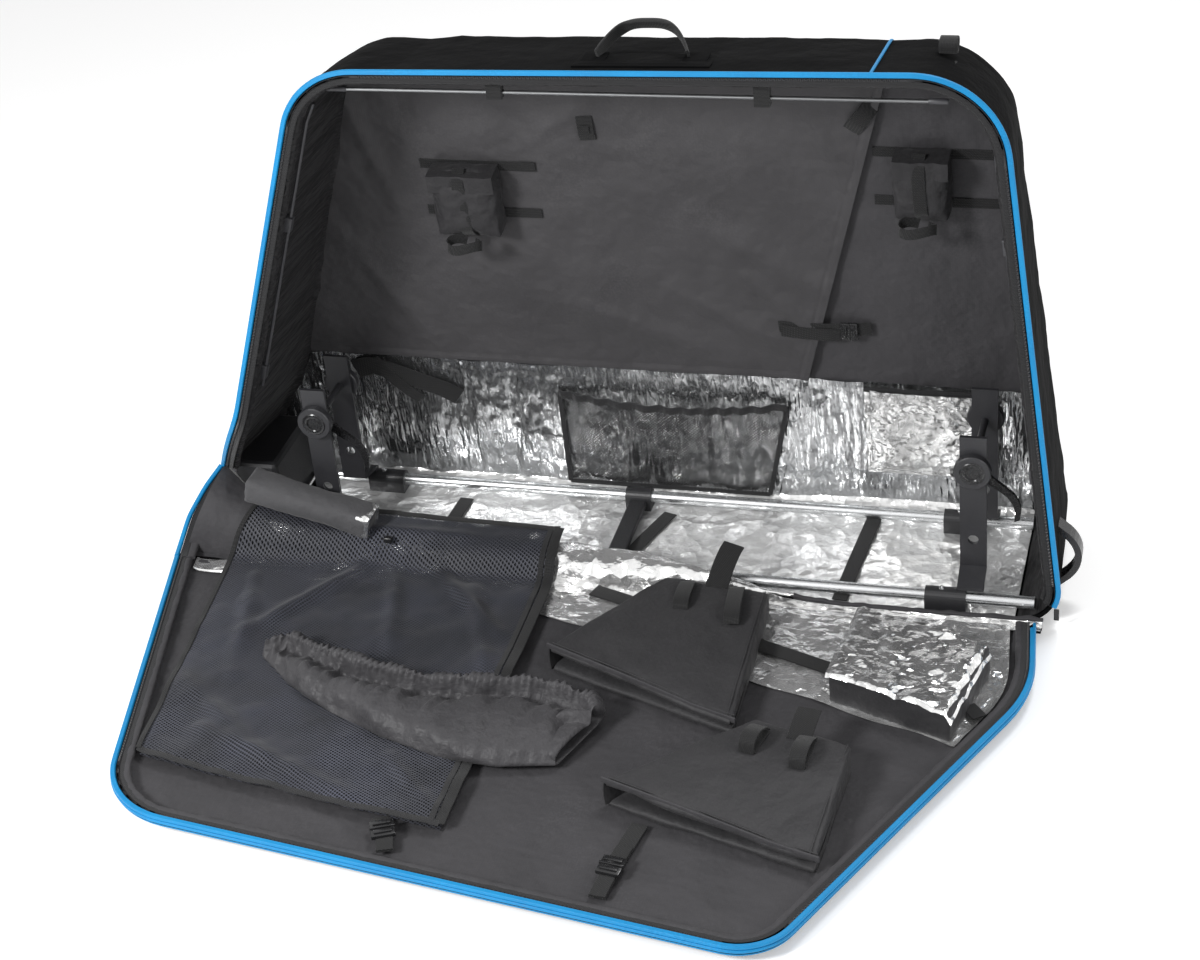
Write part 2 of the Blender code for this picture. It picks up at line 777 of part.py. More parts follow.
# Fold between the body and the lid
FOLD = [(0.655, -0.006, 0.0135), (0.500, -0.008, 0.0135), (0.340, -0.008, 0.0150),
        (0.230, -0.006, 0.0260), (0.170, -0.002, 0.0400), (0.110, 0.010, 0.0480),
        (0.040, 0.026, 0.0500), (-0.060, 0.034, 0.0520), (-0.180, 0.037, 0.0540),
        (-0.320, 0.037, 0.0560), (-0.460, 0.036, 0.0620), (-0.560, 0.037, 0.0720),
        (FLOOR_LEFT, 0.046, 0.0820), (-0.638, 0.060, 0.0950), (-0.672, 0.080, 0.1120)]
SILL_STEPS = 6
SILL_FULLNESS = 1.4


def fold_rows(drawn_back, spread):
    """Rows of fabric that rises from the base's front edge over the rail to the fold line."""
    rows = [[] for _ in range(SILL_STEPS + 1)]
    for x, y, z in FOLD:
        corner = max(0.0, (FLOOR_LEFT - x) / (FLOOR_LEFT - ZIP_END.x))
        start = FLOOR_FRONT - CLEAR + corner * (y - FLOOR_FRONT) * drawn_back
        foot = WALL + CLEAR
        rows[0].append(Vector((x - corner * spread, start, 0)))
        for k in range(SILL_STEPS):
            angle = pi / 2 * k / (SILL_STEPS - 1)
            along = start + (y - start) * (1 - cos(angle)) ** SILL_FULLNESS
            out = corner * spread * (1 - sin(angle))
            rows[k + 1].append(Vector((x - out, along, foot + (z - foot) * sin(angle))))
    return rows


def raised_rows(rows, distance):
    """The same grid of points moved out from its surface, towards the front and up."""
    made = []
    for j, row in enumerate(rows):
        low, high = rows[max(j - 1, 0)], rows[min(j + 1, len(rows) - 1)]
        moved = []
        for k, point in enumerate(row):
            along = row[min(k + 1, len(row) - 1)] - row[max(k - 1, 0)]
            out = along.cross(high[k] - low[k]).normalized()
            moved.append(point + (out if out.y < 0 or out.z > 0 else -out) * distance)
        made.append(moved)
    return made


def make_fold():
    """Fabric sill over the front rail, and the loose hinge cloth that lies over it to the lid."""
    sheet("front_sill", fold_rows(0.75, 0), SILL, "lining")
    cloth = raised_rows(fold_rows(0, CLOTH_SPREAD), SILL + 3 * CLEAR)
    foot = [Vector((p.x, LID_REAR + 3 * CLEAR, LINING_TOP - HINGE_CLOTH)) for p in cloth[0]]
    cloth = [foot] + [[p for p in row] for row in cloth[1:]]
    sheet("hinge_cloth", cloth, HINGE_CLOTH, "foil")


SILL = 0.0025
HINGE_CLOTH = 0.0018
CLOTH_SPREAD = 0.066


# Rails and stands
RAIL_REAR = RAIL_FRONT + RAIL_SPACING
RAIL_MIDDLE = (RAIL_FRONT + RAIL_REAR) / 2
FLOOR_TOP = WALL
FOIL_TOP_FLOOR = FLOOR_TOP + CLEAR + FOIL


def make_rails():
    for name, y, right in (("front_rail", RAIL_FRONT, FRONT_RAIL_RIGHT),
                           ("rear_rail", RAIL_REAR, REAR_RAIL_RIGHT)):
        rail = rod_between(name, (RAIL_LEFT, y, RAIL_HEIGHT), (right, y, RAIL_HEIGHT),
                           RAIL, "aluminium", 32)
        bore = rod_between(name + "_bore", (RAIL_LEFT - WALL, y, RAIL_HEIGHT),
                           (right + WALL, y, RAIL_HEIGHT), RAIL - 0.0015, "aluminium", 32)
        cut(rail, bore)


def clamp_outline(foot_width):
    """Section of a rail clamp across the rail: round over the tube, with a flat foot."""
    points = []
    for n in range(13):
        angle = pi * n / 12
        points.append((CLAMP * cos(angle), CLAMP * sin(angle)))
    low = FOIL_TOP_FLOOR + CLEAR - RAIL_HEIGHT
    points += [(-foot_width / 2, low), (foot_width / 2, low)]
    return points


def clamp_at(name, x, y, length, material="black_plastic"):
    """A clamp round a rail, its bore a little wider than the tube."""
    place = axes_matrix((x - length / 2, y, RAIL_HEIGHT), (0, 1, 0), (0, 0, 1))
    body = as_mesh(slab(name, clamp_outline(2 * CLAMP), length, material, place))
    bore = rod_between(name + "_bore", (x - length, y, RAIL_HEIGHT), (x + length, y, RAIL_HEIGHT),
                       RAIL + CLEAR, material, 32)
    return cut(body, bore)


def make_cross_bar():
    """Flat bar that ties the rails together, with a clamp at each end."""
    clamps = [clamp_at(f"tie{n}", CROSS_BAR_AT, y, CROSS_BAR_WIDTH + 0.014)
              for n, y in enumerate((RAIL_FRONT, RAIL_REAR))]
    low, high = FOIL_TOP_FLOOR + 0.008, FOIL_TOP_FLOOR + 0.020
    reach = CLAMP - 0.002
    bar = block("tie_bar", (CROSS_BAR_AT - CROSS_BAR_WIDTH / 2, RAIL_FRONT + reach, low),
                (CROSS_BAR_AT + CROSS_BAR_WIDTH / 2, RAIL_REAR - reach, high),
                "black_plastic", 0.002)
    join("cross_bar", bar, clamps)


def foot_side(side, spacing):
    """Y of a post's inner face and of its rail, for the front (-1) or rear (1) of a stand."""
    face = RAIL_MIDDLE + side * spacing / 2
    rail = RAIL_FRONT if side < 0 else RAIL_REAR
    return face, rail


def make_post(name, x, side, spacing):
    """Upright plate with a slanted foot: one bent sheet, with a lightening hole and the axle's hole."""
    face, rail = foot_side(side, spacing)
    away = side
    foot_top = RAIL_HEIGHT + CLAMP + 0.016
    seat = RAIL_HEIGHT + CLAMP + CLEAR
    profile = [
        (rail - away * 0.008, seat),
        (rail + away * 0.004, seat),
        (rail + away * 0.004, seat + POST),
        (face + away * POST, foot_top + POST),
        (face + away * POST, POST_TOP),
        (face, POST_TOP),
        (face, foot_top),
        (rail - away * 0.008, seat + POST * 0.8),
    ]
    place = axes_matrix((x, 0, 0), (0, 1, 0), (0, 0, 1))
    plate = as_mesh(slab(name, profile, POST_WIDTH, "black_metal", place))
    middle = x + POST_WIDTH / 2
    for label, height, radius in (("axle_hole", HUB_HEIGHT, AXLE + CLEAR),
                                  ("light_hole", 0.112, 0.008)):
        drill = rod_between(f"{name}_{label}", (middle, face - 0.03, height),
                            (middle, face + 0.03, height), radius, "black_metal", 24)
        cut(plate, drill)
    return plate


def ring(name, centre, along, length, outer, inner, material):
    """A turned ring on the Y axis, from a profile with a Screw modifier."""
    chamfer = min(0.0015, (outer - inner) / 4)
    profile = [(inner, 0), (outer - chamfer, 0), (outer, chamfer), (outer, length - chamfer),
               (outer - chamfer, length), (inner, length)]
    bm = bmesh.new()
    verts = [bm.verts.new((r, 0, z)) for r, z in profile]
    for a, b in zip(verts, verts[1:] + verts[:1]):
        bm.edges.new((a, b))
    data = bpy.data.meshes.new(name)
    bm.to_mesh(data)
    bm.free()
    obj = bpy.data.objects.new(name, data)
    bpy.context.scene.collection.objects.link(obj)
    turn = obj.modifiers.new("turned", "SCREW")
    turn.steps = turn.render_steps = 32
    turn.use_merge_vertices = True
    turn.merge_threshold = 0.0001
    turn.use_normal_calculate = True
    obj.matrix_world = axes_matrix(centre, (1, 0, 0), (0, 0, -along))
    return as_mesh(keep(obj, name, material))


def make_stand(prefix, hub_x, step, spacing):
    """A stand on the rails: clamps, bent posts, axle sockets, the axle and its lever."""
    at = hub_x + step
    slider = pivot_at(f"{prefix}_stand_axis", (at, RAIL_MIDDLE, RAIL_HEIGHT))
    for end, side in (("front", -1), ("rear", 1)):
        face, rail = foot_side(side, spacing)
        hang_on(clamp_at(f"{prefix}_clamp_{end}", at, rail, CLAMP_LENGTH), slider)
        post = make_post(f"{prefix}_post_{end}", hub_x - POST_WIDTH / 2, side, spacing)
        start = (hub_x, face + side * (POST - SOCKET_SEAT), HUB_HEIGHT)
        socket = ring(f"{prefix}_socket_{end}", start, side, HUB_LENGTH, HUB, HUB_BORE, "black_plastic")
        hang_on(join(f"{prefix}_post_{end}", post, [socket]), slider)
    hang_on(make_axle(prefix, hub_x, spacing), slider)


def make_axle(prefix, hub_x, spacing):
    """Axle between the posts with a curved lever that turns it."""
    front, _ = foot_side(-1, spacing)
    rear, _ = foot_side(1, spacing)
    reach = POST + HUB_LENGTH - 0.003
    pivot = pivot_at(f"{prefix}_axle_axis", (hub_x, front, HUB_HEIGHT))
    axle = rod_between(f"{prefix}_axle", (hub_x, front - reach, HUB_HEIGHT),
                       (hub_x, rear + reach, HUB_HEIGHT), AXLE, "aluminium", 24)
    start = front + 0.014
    boss = rod_between(f"{prefix}_boss", (hub_x, start, HUB_HEIGHT), (hub_x, start + 0.014, HUB_HEIGHT),
                       0.012, "black_plastic", 24)
    blade = []
    for n in range(9):
        share = n / 8
        radius = 0.010 + (LEVER_LENGTH - 0.010) * share
        bow = radians(-74) + radians(26) * sin(pi * share * 0.8)
        blade.append((radius * cos(bow), radius * sin(bow), 0.0085 - 0.004 * share))
    outer = [Vector((x + w * 0.9, z + w * 0.4)) for x, z, w in blade]
    inner = [Vector((x - w * 0.9, z - w * 0.4)) for x, z, w in blade]
    place = axes_matrix((hub_x, start + 0.010, HUB_HEIGHT), (1, 0, 0), (0, 0, 1))
    arm = as_mesh(slab(f"{prefix}_arm", outer + inner[::-1], 0.006, "black_plastic", place))
    cut(boss, arm, "UNION")
    hole = rod_between(f"{prefix}_lever_bore", (hub_x, start - 0.01, HUB_HEIGHT),
                       (hub_x, start + 0.03, HUB_HEIGHT), AXLE + CLEAR, "black_plastic", 24)
    cut(boss, hole)
    lever = as_mesh(boss)
    lever.name = f"{prefix}_lever"
    for obj in (axle, lever):
        hang_on(obj, pivot)
    return pivot


def make_rods():
    """Light rod across the top, two dark rods down the sides, and the loops that hold them."""
    top = (ROD_LEFT, ROD_DEPTH, ROD_HEIGHT), (ROD_RIGHT, ROD_DEPTH, ROD_HEIGHT + TOP_RISE * 0.3)
    rod_between("top_rod", *top, ROD, "aluminium", 12)
    make_side_rod("left_rod", -1, KNEE_HEIGHT + ROD_FOOT, ROD_LEFT - ROD_END)
    make_side_rod("right_rod", 1, ROD_FOOT * 2, ROD_RIGHT + ROD_END)
    for name, x in zip(("rod_loop_left", "rod_loop_right"), LOOPS_AT):
        loop_piece(name, x)


def make_side_rod(name, side, foot, end_x):
    """Dark rod that follows one side of the rim, with the two clips that hold it to the wall."""
    inner = offset_path(split_path(OUTLINE, 0.05), -ROD_INSET)
    points = [Vector((p.x, ROD_DEPTH, p.y)) for p in inner
              if p.x * side > abs(end_x) and foot < p.y < ROD_HEIGHT - ROD_END]
    rod = tube(name, points, ROD, "rod")
    join(name, rod, [make_clip(f"{name}_clip{n}", side, z) for n, z in enumerate(CLIPS[name])])


def make_clip(name, side, height):
    """A block round the rod that reaches the wall beside it."""
    a, b = next((a, b) for a, b in zip(OUTLINE, OUTLINE[1:])
                if a.x * side > 0 and b.x * side > 0 and (a.y - height) * (b.y - height) <= 0)
    wall = a.lerp(b, (height - a.y) / (b.y - a.y))
    up = (b - a).normalized() * (1 if b.y > a.y else -1)
    inward = Vector((up.y, -up.x)) * -side
    place = axes_matrix((wall.x, ROD_DEPTH, wall.y), (inward.x, 0, inward.y), (0, 1, 0))
    fall = back_inset(-inward) * ROD_DEPTH / (depth_at(height) - BACK_RADIUS)
    start = WALL + fall + 4 * CLEAR
    return block(name, (start, -CLIP_WIDTH / 2, -CLIP_LENGTH / 2),
                 (ROD_INSET + ROD * 1.6, CLIP_WIDTH / 2, CLIP_LENGTH / 2), "rod", 0.002, place)


def loop_piece(name, x):
    """A small webbing loop that hangs from the top wall round the rod."""
    half = ROD + LOOP_WALL
    top = top_surface(x - LOOP / 2, ROD_DEPTH + half) - WALL - 2 * CLEAR
    low = ROD_HEIGHT - ROD - LOOP_WALL
    place = axes_matrix((x - LOOP / 2, ROD_DEPTH, 0), (0, 1, 0), (0, 0, 1))
    body = as_mesh(slab(name, [(-half, low), (half, low), (half, top), (-half, top)], LOOP,
                        "webbing", place))
    share = (x - ROD_LEFT) / (ROD_RIGHT - ROD_LEFT)
    rod_z = ROD_HEIGHT + TOP_RISE * 0.3 * share
    hole = rod_between(name + "_hole", (x - LOOP, ROD_DEPTH, rod_z), (x + LOOP, ROD_DEPTH, rod_z),
                       ROD + 2 * CLEAR, "webbing", 12)
    return cut(body, hole)


def make_wheels():
    """Two wheels on pins, in a moulded housing that forms the lower left corner."""
    housing = block("wheel_housing", (HOUSING_LEFT, HOUSING_FRONT, 0.003),
                    (FLOOR_LEFT - 2 * CLEAR, HOUSING_BACK, HOUSING_TOP), "black_plastic", 0.008)
    housing = as_mesh(housing)
    half = WHEEL_WIDTH / 2 + WHEEL_SIDE_GAP
    ends = [Vector((WHEEL_AT.x, y, WHEEL_AT.z))
            for y in (WHEELS_DEPTH[0] - half - PIN_SEAT, WHEELS_DEPTH[1] + half + PIN_SEAT)]
    rod_between("wheel_axle", *ends, WHEEL_PIN, "aluminium", 20)
    beyond = Vector((0, CLEAR, 0))
    cut(housing, rod_between("pin_hole", ends[0] - beyond, ends[1] + beyond, WHEEL_PIN + CLEAR,
                             "black_plastic", 20))
    for n, y in enumerate(WHEELS_DEPTH):
        centre = Vector((WHEEL_AT.x, y, WHEEL_AT.z))
        well_low = (HOUSING_LEFT - 0.02, y - half, -0.01)
        well_high = (WHEEL_AT.x + WHEEL + 0.006, y + half, WHEEL_AT.z + WHEEL + 0.006)
        cut(housing, block(f"well{n}", well_low, well_high, "black_plastic"))
        make_wheel(("wheel_front", "wheel_rear")[n], centre)


def make_wheel(name, centre):
    """Wheel with a crowned tread and recessed sides, turned about its own axle."""
    half = WHEEL_WIDTH / 2
    rim = WHEEL * 0.72
    profile = [(WHEEL_BORE, -half * 0.75), (rim * 0.55, -half * 0.75), (rim, -half * 0.45),
               (rim, -half * 0.8), (WHEEL - 0.004, -half), (WHEEL, -half * 0.5), (WHEEL, half * 0.5),
               (WHEEL - 0.004, half), (rim, half * 0.8), (rim, half * 0.45), (rim * 0.55, half * 0.75),
               (WHEEL_BORE, half * 0.75)]
    bm = bmesh.new()
    verts = [bm.verts.new((r, 0, -z)) for r, z in profile]
    for a, b in zip(verts, verts[1:] + verts[:1]):
        bm.edges.new((a, b))
    data = bpy.data.meshes.new(name)
    bm.to_mesh(data)
    bm.free()
    obj = bpy.data.objects.new(name, data)
    bpy.context.scene.collection.objects.link(obj)
    turn = obj.modifiers.new("turned", "SCREW")
    turn.steps = turn.render_steps = 32
    turn.use_merge_vertices = True
    turn.merge_threshold = 0.0001
    turn.use_normal_calculate = True
    obj.matrix_world = axes_matrix(centre, (1, 0, 0), (0, 0, -1))
    obj = keep(obj, name, "rubber")
    hang_on(as_mesh(obj), pivot_at(name + "_axis", centre))


def arch(span, rise, band, steps=12):
    """Outline of an arched band standing on its two ends, which turn outwards as sewn feet."""
    outer, inner = [], []
    for n in range(steps + 1):
        share = n / steps
        x = (share - 0.5) * span
        z = rise * sin(pi * share) ** 0.62
        slope = atan2(rise * cos(pi * share), span / 2)
        outer.append(Vector((x - band / 2 * sin(slope), z + band / 2 * cos(slope))))
        inner.append(Vector((x + band / 2 * sin(slope), z - band / 2 * cos(slope))))
    for side in (outer, inner):
        side[0].y = side[-1].y = 0
        for point in side:
            point.y = max(point.y, 0)
    outer[0].x, outer[-1].x = -span / 2 - band, span / 2 + band
    inner[0].x, inner[-1].x = -span / 2 + band * 0.2, span / 2 - band * 0.2
    return outer + inner[::-1]


def make_handles():
    """Webbing handle on the top and a moulded grab handle low on the right end."""
    slope = Vector((TOP_LENGTH, 0, TOP_RISE)).normalized()
    up = Matrix.Rotation(-HANDLE_LEAN, 3, slope) @ slope.cross(Vector((0, 1, 0)))
    edge = HANDLE_WIDTH / 2 * sin(HANDLE_LEAN)
    foot_y = HANDLE_DEPTH + HANDLE_WIDTH / 2 * cos(HANDLE_LEAN)
    base = Vector((HANDLE_AT, HANDLE_DEPTH, top_surface(HANDLE_AT, foot_y) + edge + CLEAR))
    place = axes_matrix(base, slope, up) @ Matrix.Translation((0, 0, -HANDLE_WIDTH / 2))
    handle = slab("top_handle", arch(HANDLE_SPAN, HANDLE_RISE, HANDLE_BAND), HANDLE_WIDTH, "webbing",
                  place)
    hang_on(handle, pivot_at("top_handle_axis", (HANDLE_AT, foot_y, base.z - edge), slope))
    wall_x = wall_side(END_HANDLE_LOW) + HANDLE_SEAT
    high_x = wall_side(END_HANDLE_LOW + END_HANDLE_SPAN) + HANDLE_SEAT
    up = Vector((high_x - wall_x, 0, END_HANDLE_SPAN))
    out = Vector((1, 0, -up.x / up.z))
    spine = axes_matrix((wall_x, END_HANDLE_AT, END_HANDLE_LOW), up, out)
    spine = spine @ Matrix.Translation((END_HANDLE_SPAN / 2, 0, -END_HANDLE_WIDTH / 2))
    loop = slab("end_handle", arch(END_HANDLE_SPAN - END_HANDLE_BAND, END_HANDLE_REACH - END_HANDLE_BAND / 2,
                                   END_HANDLE_BAND), END_HANDLE_WIDTH, "black_plastic", spine)
    back = END_HANDLE_AT + END_HANDLE_WIDTH / 2
    hang_on(loop, pivot_at("end_handle_axis", (wall_x, back, END_HANDLE_LOW), up))


def wall_side(height):
    """Outer face of the right wall at a height, near the opening."""
    for a, b in zip(OUTLINE, OUTLINE[1:]):
        if a.x > 0 and b.x > 0 and (a.y - height) * (b.y - height) <= 0 and a.y != b.y:
            return a.x + (b.x - a.x) * (height - a.y) / (b.y - a.y)
    return BASE_RIGHT


def make_back_pieces():
    """Sheets, pockets and straps on the inside of the back wall."""
    outline = back_outline(BACK_RADIUS + SEAM + WALL)
    foil = clip_below(outline, FOIL_TOP)
    back_slab("back_foil", foil, CLEAR, FOIL, "foil")
    left = clip_left(clip_above(outline, 0.020))
    off = 2 * CLEAR + FOIL
    back_slab("divider_panel", left, off, DIVIDER, "lining")
    off += DIVIDER + CLEAR
    back_slab("mesh_pocket", MESH_POCKET_AT, off, POCKET, "mesh")
    start = divider_edge(FOIL_POCKET_HIGH) + FOIL_POCKET_GAP
    end = BASE_RIGHT - FOIL_POCKET_FROM_RIGHT
    low, high = FOIL_POCKET_LOW, FOIL_POCKET_HIGH
    back_slab("foil_pocket", [(start, low), (end, low), (end, high), (start, high)],
              2 * CLEAR + FOIL, FOIL_POCKET, "foil")
    make_pads(off)


def clip_below(outline, height):
    return cross_clip(outline, lambda p: height - p.y)


def clip_above(outline, height):
    return cross_clip(outline, lambda p: p.y - height)


def clip_left(outline):
    """Keep what lies left of the divider's slanted edge."""
    return cross_clip(outline, lambda p: divider_edge(p.y) - p.x)


def divider_edge(height):
    """Where the divider's slanted edge is at a height."""
    return DIVIDER_FOOT_X + (height - DIVIDER_FOOT) * DIVIDER_RUN / DIVIDER_RISE


def cross_clip(outline, inside):
    """The part of a closed outline where a straight test is positive."""
    made = []
    for a, b in zip(outline, outline[1:] + outline[:1]):
        here, there = inside(a), inside(b)
        if here >= 0:
            made.append(a)
        if here * there < 0:
            made.append(a.lerp(b, here / (here - there)))
    return made


def make_pads(off):
    """Two removable padded blocks that stand out from the back."""
    right_at = divider_edge(RIGHT_PAD_LOW + RIGHT_PAD_LENGTH) + RIGHT_PAD_GAP
    for name, x, low, width, length, start in (
            ("pad_left", LEFT_PAD_AT, LEFT_PAD_LOW, LEFT_PAD_WIDTH, LEFT_PAD_LENGTH, off),
            ("pad_right", right_at, RIGHT_PAD_LOW, RIGHT_PAD_WIDTH, RIGHT_PAD_LENGTH, CLEAR)):
        corners = ((x, low * LEAN_SCALE, 0), (x + width, (low + length) * LEAN_SCALE, PAD_DEPTH))
        block(name, *corners, "lining", 0.006, lean_place(WALL + start))


def make_floor_pieces():
    """Foil on the base, under the rails."""
    left, right = FLOOR_LEFT + FOIL_MARGIN, OUTLINE[FLOOR_SEAM].x
    front, back = FLOOR_FRONT + FOIL_MARGIN, FLOOR_DEPTH - BACK_RADIUS - WALL
    slab("floor_foil", [(left, front), (right, front), (right, back), (left, back)], FOIL, "foil",
         height_place(WALL + CLEAR))


def make_strap_roll():
    """Webbing tab on the top right corner with the rolled-up end of a carrying strap."""
    at = TOP_RIGHT - ROLL_FROM_CORNER
    height, slope = top_flat(at)
    top = height - TOP_FALL * ROLL_FRONT + 2 * CLEAR
    place = axes_matrix((at, ROLL_FRONT, top), (1, 0, slope), (0, 1, -TOP_FALL))
    half = ROLL_WIDTH / 2
    tab = slab("tab", [(-half, 0), (half, 0), (half, ROLL_LENGTH), (-half, ROLL_LENGTH)], WEBBING,
               "webbing", place)
    middle = Vector((0, ROLL_LENGTH - ROLL / 2, ROLL + WEBBING / 2))
    side = Vector((half, 0, 0))
    roll = rod_between("roll", place @ (middle - side), place @ (middle + side), ROLL, "webbing", 16)
    join("strap_roll", tab, [roll])


def make_pulls():
    """The two zip pulls, each hanging just under one end of the piping."""
    piping = rim_path(0, PIPING + CLEAR)
    for name, end, inner in (("pull_left", piping[0], piping[1]), ("pull_right", piping[-1], piping[-2])):
        run = (inner - end).normalized()
        level = Vector((run.x, run.y, 0))
        under = level.normalized() * PIPING * run.z - Vector((0, 0, PIPING * level.length + 2 * CLEAR))
        pivot = pivot_at(name + "_axis", end + under)
        pull = block(name, (-PULL_WIDTH / 2, -PULL / 2, -PULL_LENGTH), (PULL_WIDTH / 2, PULL / 2, 0),
                     "black_plastic", 0.0008)
        pull.parent = pivot


def make_belt():
    """Webbing belt with a dark pad, fixed to the foil beside the left stand."""
    place = lean_place(WALL + 2 * CLEAR + FOIL + DIVIDER + CLEAR)
    slab("left_belt", on_lean(BELT_AT), BELT, "webbing", place)


def make_loose_pieces():
    """Covers, bag and box that lie loose on the lid, and the pad on the fold."""
    level = LINING_TOP + CLEAR
    over_foil = level + FOIL + CLEAR
    over_bag = over_foil + MESH_BAG + CLEAR
    pieces = [
        slab("mesh_bag", MESH_BAG_AT, MESH_BAG, "mesh", height_place(over_foil)),
        wedge("cover_1", COVER_1_AT, over_foil),
        wedge("cover_2", COVER_2_AT, level),
        slab("foil_box", FOIL_BOX_AT, BOX_HEIGHT, "foil", height_place(over_foil)),
        slab("gathered_cover", GATHERED_AT, GATHER_HEIGHT, "lining", height_place(over_bag)),
    ]
    for piece in pieces:
        hang_on(piece, LID_PIVOT)
    make_tube_pad()


def wedge(name, corners, level):
    """A folded padded cover: a flat block with a four-sided outline and soft edges."""
    obj = as_mesh(slab(name, corners, COVER_HEIGHT, "lining", height_place(level)))
    edge = obj.modifiers.new("edges", "BEVEL")
    edge.width = 0.005
    edge.segments = 2
    edge.limit_method = "ANGLE"
    return obj


def make_tube_pad():
    """Square foam sleeve that lies on the sill in the lower left corner."""
    start, end = Vector(TUBE_PAD[0]), Vector(TUBE_PAD[1])
    run = (end - start).normalized()
    across = Vector((0, 0, 1)).cross(run).normalized()
    wide, high = TUBE_PAD_WIDTH / 2, TUBE_PAD_HEIGHT / 2
    corners = arc_corners([(0, high, 0), (wide, high, TUBE_PAD_EDGE), (wide, -high, TUBE_PAD_EDGE),
                           (-wide, -high, TUBE_PAD_EDGE), (-wide, high, TUBE_PAD_EDGE), (0, high, 0)])
    turn = Matrix((across, run.cross(across), run)).transposed().to_4x4()
    slab("tube_pad", corners[:-1], (end - start).length, "lining", Matrix.Translation(start) @ turn)


make_walls()
make_back_panel()
make_body_trim()
make_lid()
make_lid_straps()
make_fold()
make_rails()
make_cross_bar()
make_stand("right", RIGHT_HUB_AT, -STAND_STEP, RIGHT_SPACING)
make_stand("left", LEFT_HUB_AT, STAND_STEP, LEFT_SPACING)
make_rods()
make_wheels()
make_handles()
make_back_pieces()
make_floor_pieces()
make_strap_roll()
make_pulls()
make_belt()
make_loose_pieces()
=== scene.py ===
"""Soft goods, trims and finishes of the open bike travel case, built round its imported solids."""
import bpy
import bmesh
import numpy as np
from math import atan2, ceil, cos, hypot, pi, radians, sin, sqrt, tan
from mathutils import Matrix, Vector, noise


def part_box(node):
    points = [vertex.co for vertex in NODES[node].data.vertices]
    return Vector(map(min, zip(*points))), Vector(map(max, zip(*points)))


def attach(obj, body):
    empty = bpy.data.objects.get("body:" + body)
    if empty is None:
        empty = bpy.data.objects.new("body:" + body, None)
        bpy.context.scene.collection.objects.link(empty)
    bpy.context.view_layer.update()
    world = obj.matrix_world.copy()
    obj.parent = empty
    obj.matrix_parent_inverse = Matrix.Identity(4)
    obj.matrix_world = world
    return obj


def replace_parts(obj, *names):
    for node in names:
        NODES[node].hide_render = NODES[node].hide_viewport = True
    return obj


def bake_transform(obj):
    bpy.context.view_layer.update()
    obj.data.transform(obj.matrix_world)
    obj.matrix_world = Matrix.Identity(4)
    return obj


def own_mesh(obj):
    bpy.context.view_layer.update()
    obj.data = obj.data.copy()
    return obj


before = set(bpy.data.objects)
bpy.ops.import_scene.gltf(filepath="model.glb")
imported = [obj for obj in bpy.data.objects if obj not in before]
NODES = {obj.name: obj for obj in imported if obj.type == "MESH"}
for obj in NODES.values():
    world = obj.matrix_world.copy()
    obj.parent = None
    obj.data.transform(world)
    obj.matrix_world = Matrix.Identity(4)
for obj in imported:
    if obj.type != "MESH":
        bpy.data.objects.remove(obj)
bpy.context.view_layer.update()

# Sizes of the case, as in its source
BASE_RIGHT = 0.684
TOP_LEFT, TOP_RIGHT = -0.411, 0.588
BODY_HEIGHT, TOP_RISE = 0.866, 0.020
FLOOR_DEPTH, TOP_DEPTH = 0.290, 0.188
WALL, BACK_RADIUS, CLEAR = 0.006, 0.030, 0.0003
KNEE_X, KNEE_Z = -0.604, 0.273
ZIP_X, ZIP_Y, ZIP_Z = -0.690, 0.093, 0.123
BACK_INSET, TOP_INSET = 0.012, 0.022
LEAN = (FLOOR_DEPTH - TOP_DEPTH) / BODY_HEIGHT
LID_REAR, LID_FLOOR = -0.030, 0.0122
FLOOR_LIP, FRONT_EDGE, CORNER_RUN = 0.012, -0.0123, 0.086
FOIL_THICK = 0.0006
OUTLINE_STEP = 0.010
SEAM_LEFT, SEAM_RIGHT = -0.270, 0.415
HUBS, HUB_HEIGHT = (("right", 0.544), ("left", -0.499)), 0.237
UP = (0, 0, 1)
FALLOFF, OCTAVE_STEP = 0.9, 2.1


# ---------- paths ----------

def rounded(corners, step=radians(6)):
    """An open path whose inner corners are rounded: corners are (x, y, radius)."""
    points = [Vector(corners[0][:2])]
    for before, here, after in zip(corners, corners[1:], corners[2:]):
        corner, radius = Vector(here[:2]), here[2]
        back = (Vector(before[:2]) - corner).normalized()
        on = (Vector(after[:2]) - corner).normalized()
        half = back.angle(on) / 2
        centre = corner + (back + on).normalized() * radius / sin(half)
        start = corner + back * radius / tan(half) - centre
        end = corner + on * radius / tan(half) - centre
        sweep = start.angle_signed(end)
        count = max(2, ceil(abs(sweep) / step))
        for n in range(count + 1):
            points.append(centre + Matrix.Rotation(-sweep * n / count, 2) @ start)
    points.append(Vector(corners[-1][:2]))
    return np.array(points)


def even(points, step=None, count=None):
    """The same path with its points evenly spaced along it."""
    points = np.asarray(points, float)
    lengths = np.linalg.norm(np.diff(points, axis=0), axis=1)
    along = np.concatenate([[0], np.cumsum(lengths)])
    count = count or max(2, int(round(along[-1] / step)) + 1)
    at = np.linspace(0, along[-1], count)
    return np.stack([np.interp(at, along, column) for column in points.T], axis=1)


def left_of(points):
    """Unit normals to the left of an open 2D path."""
    run = np.gradient(points, axis=0)
    run /= np.linalg.norm(run, axis=1)[:, None]
    return np.stack([-run[:, 1], run[:, 0]], axis=1)


def smooth(points, rounds=2):
    """A path with its corners eased and its ends kept."""
    points = np.array(points, float)
    for _ in range(rounds):
        points[1:-1] = (points[:-2] + 2 * points[1:-1] + points[2:]) / 4
    return points


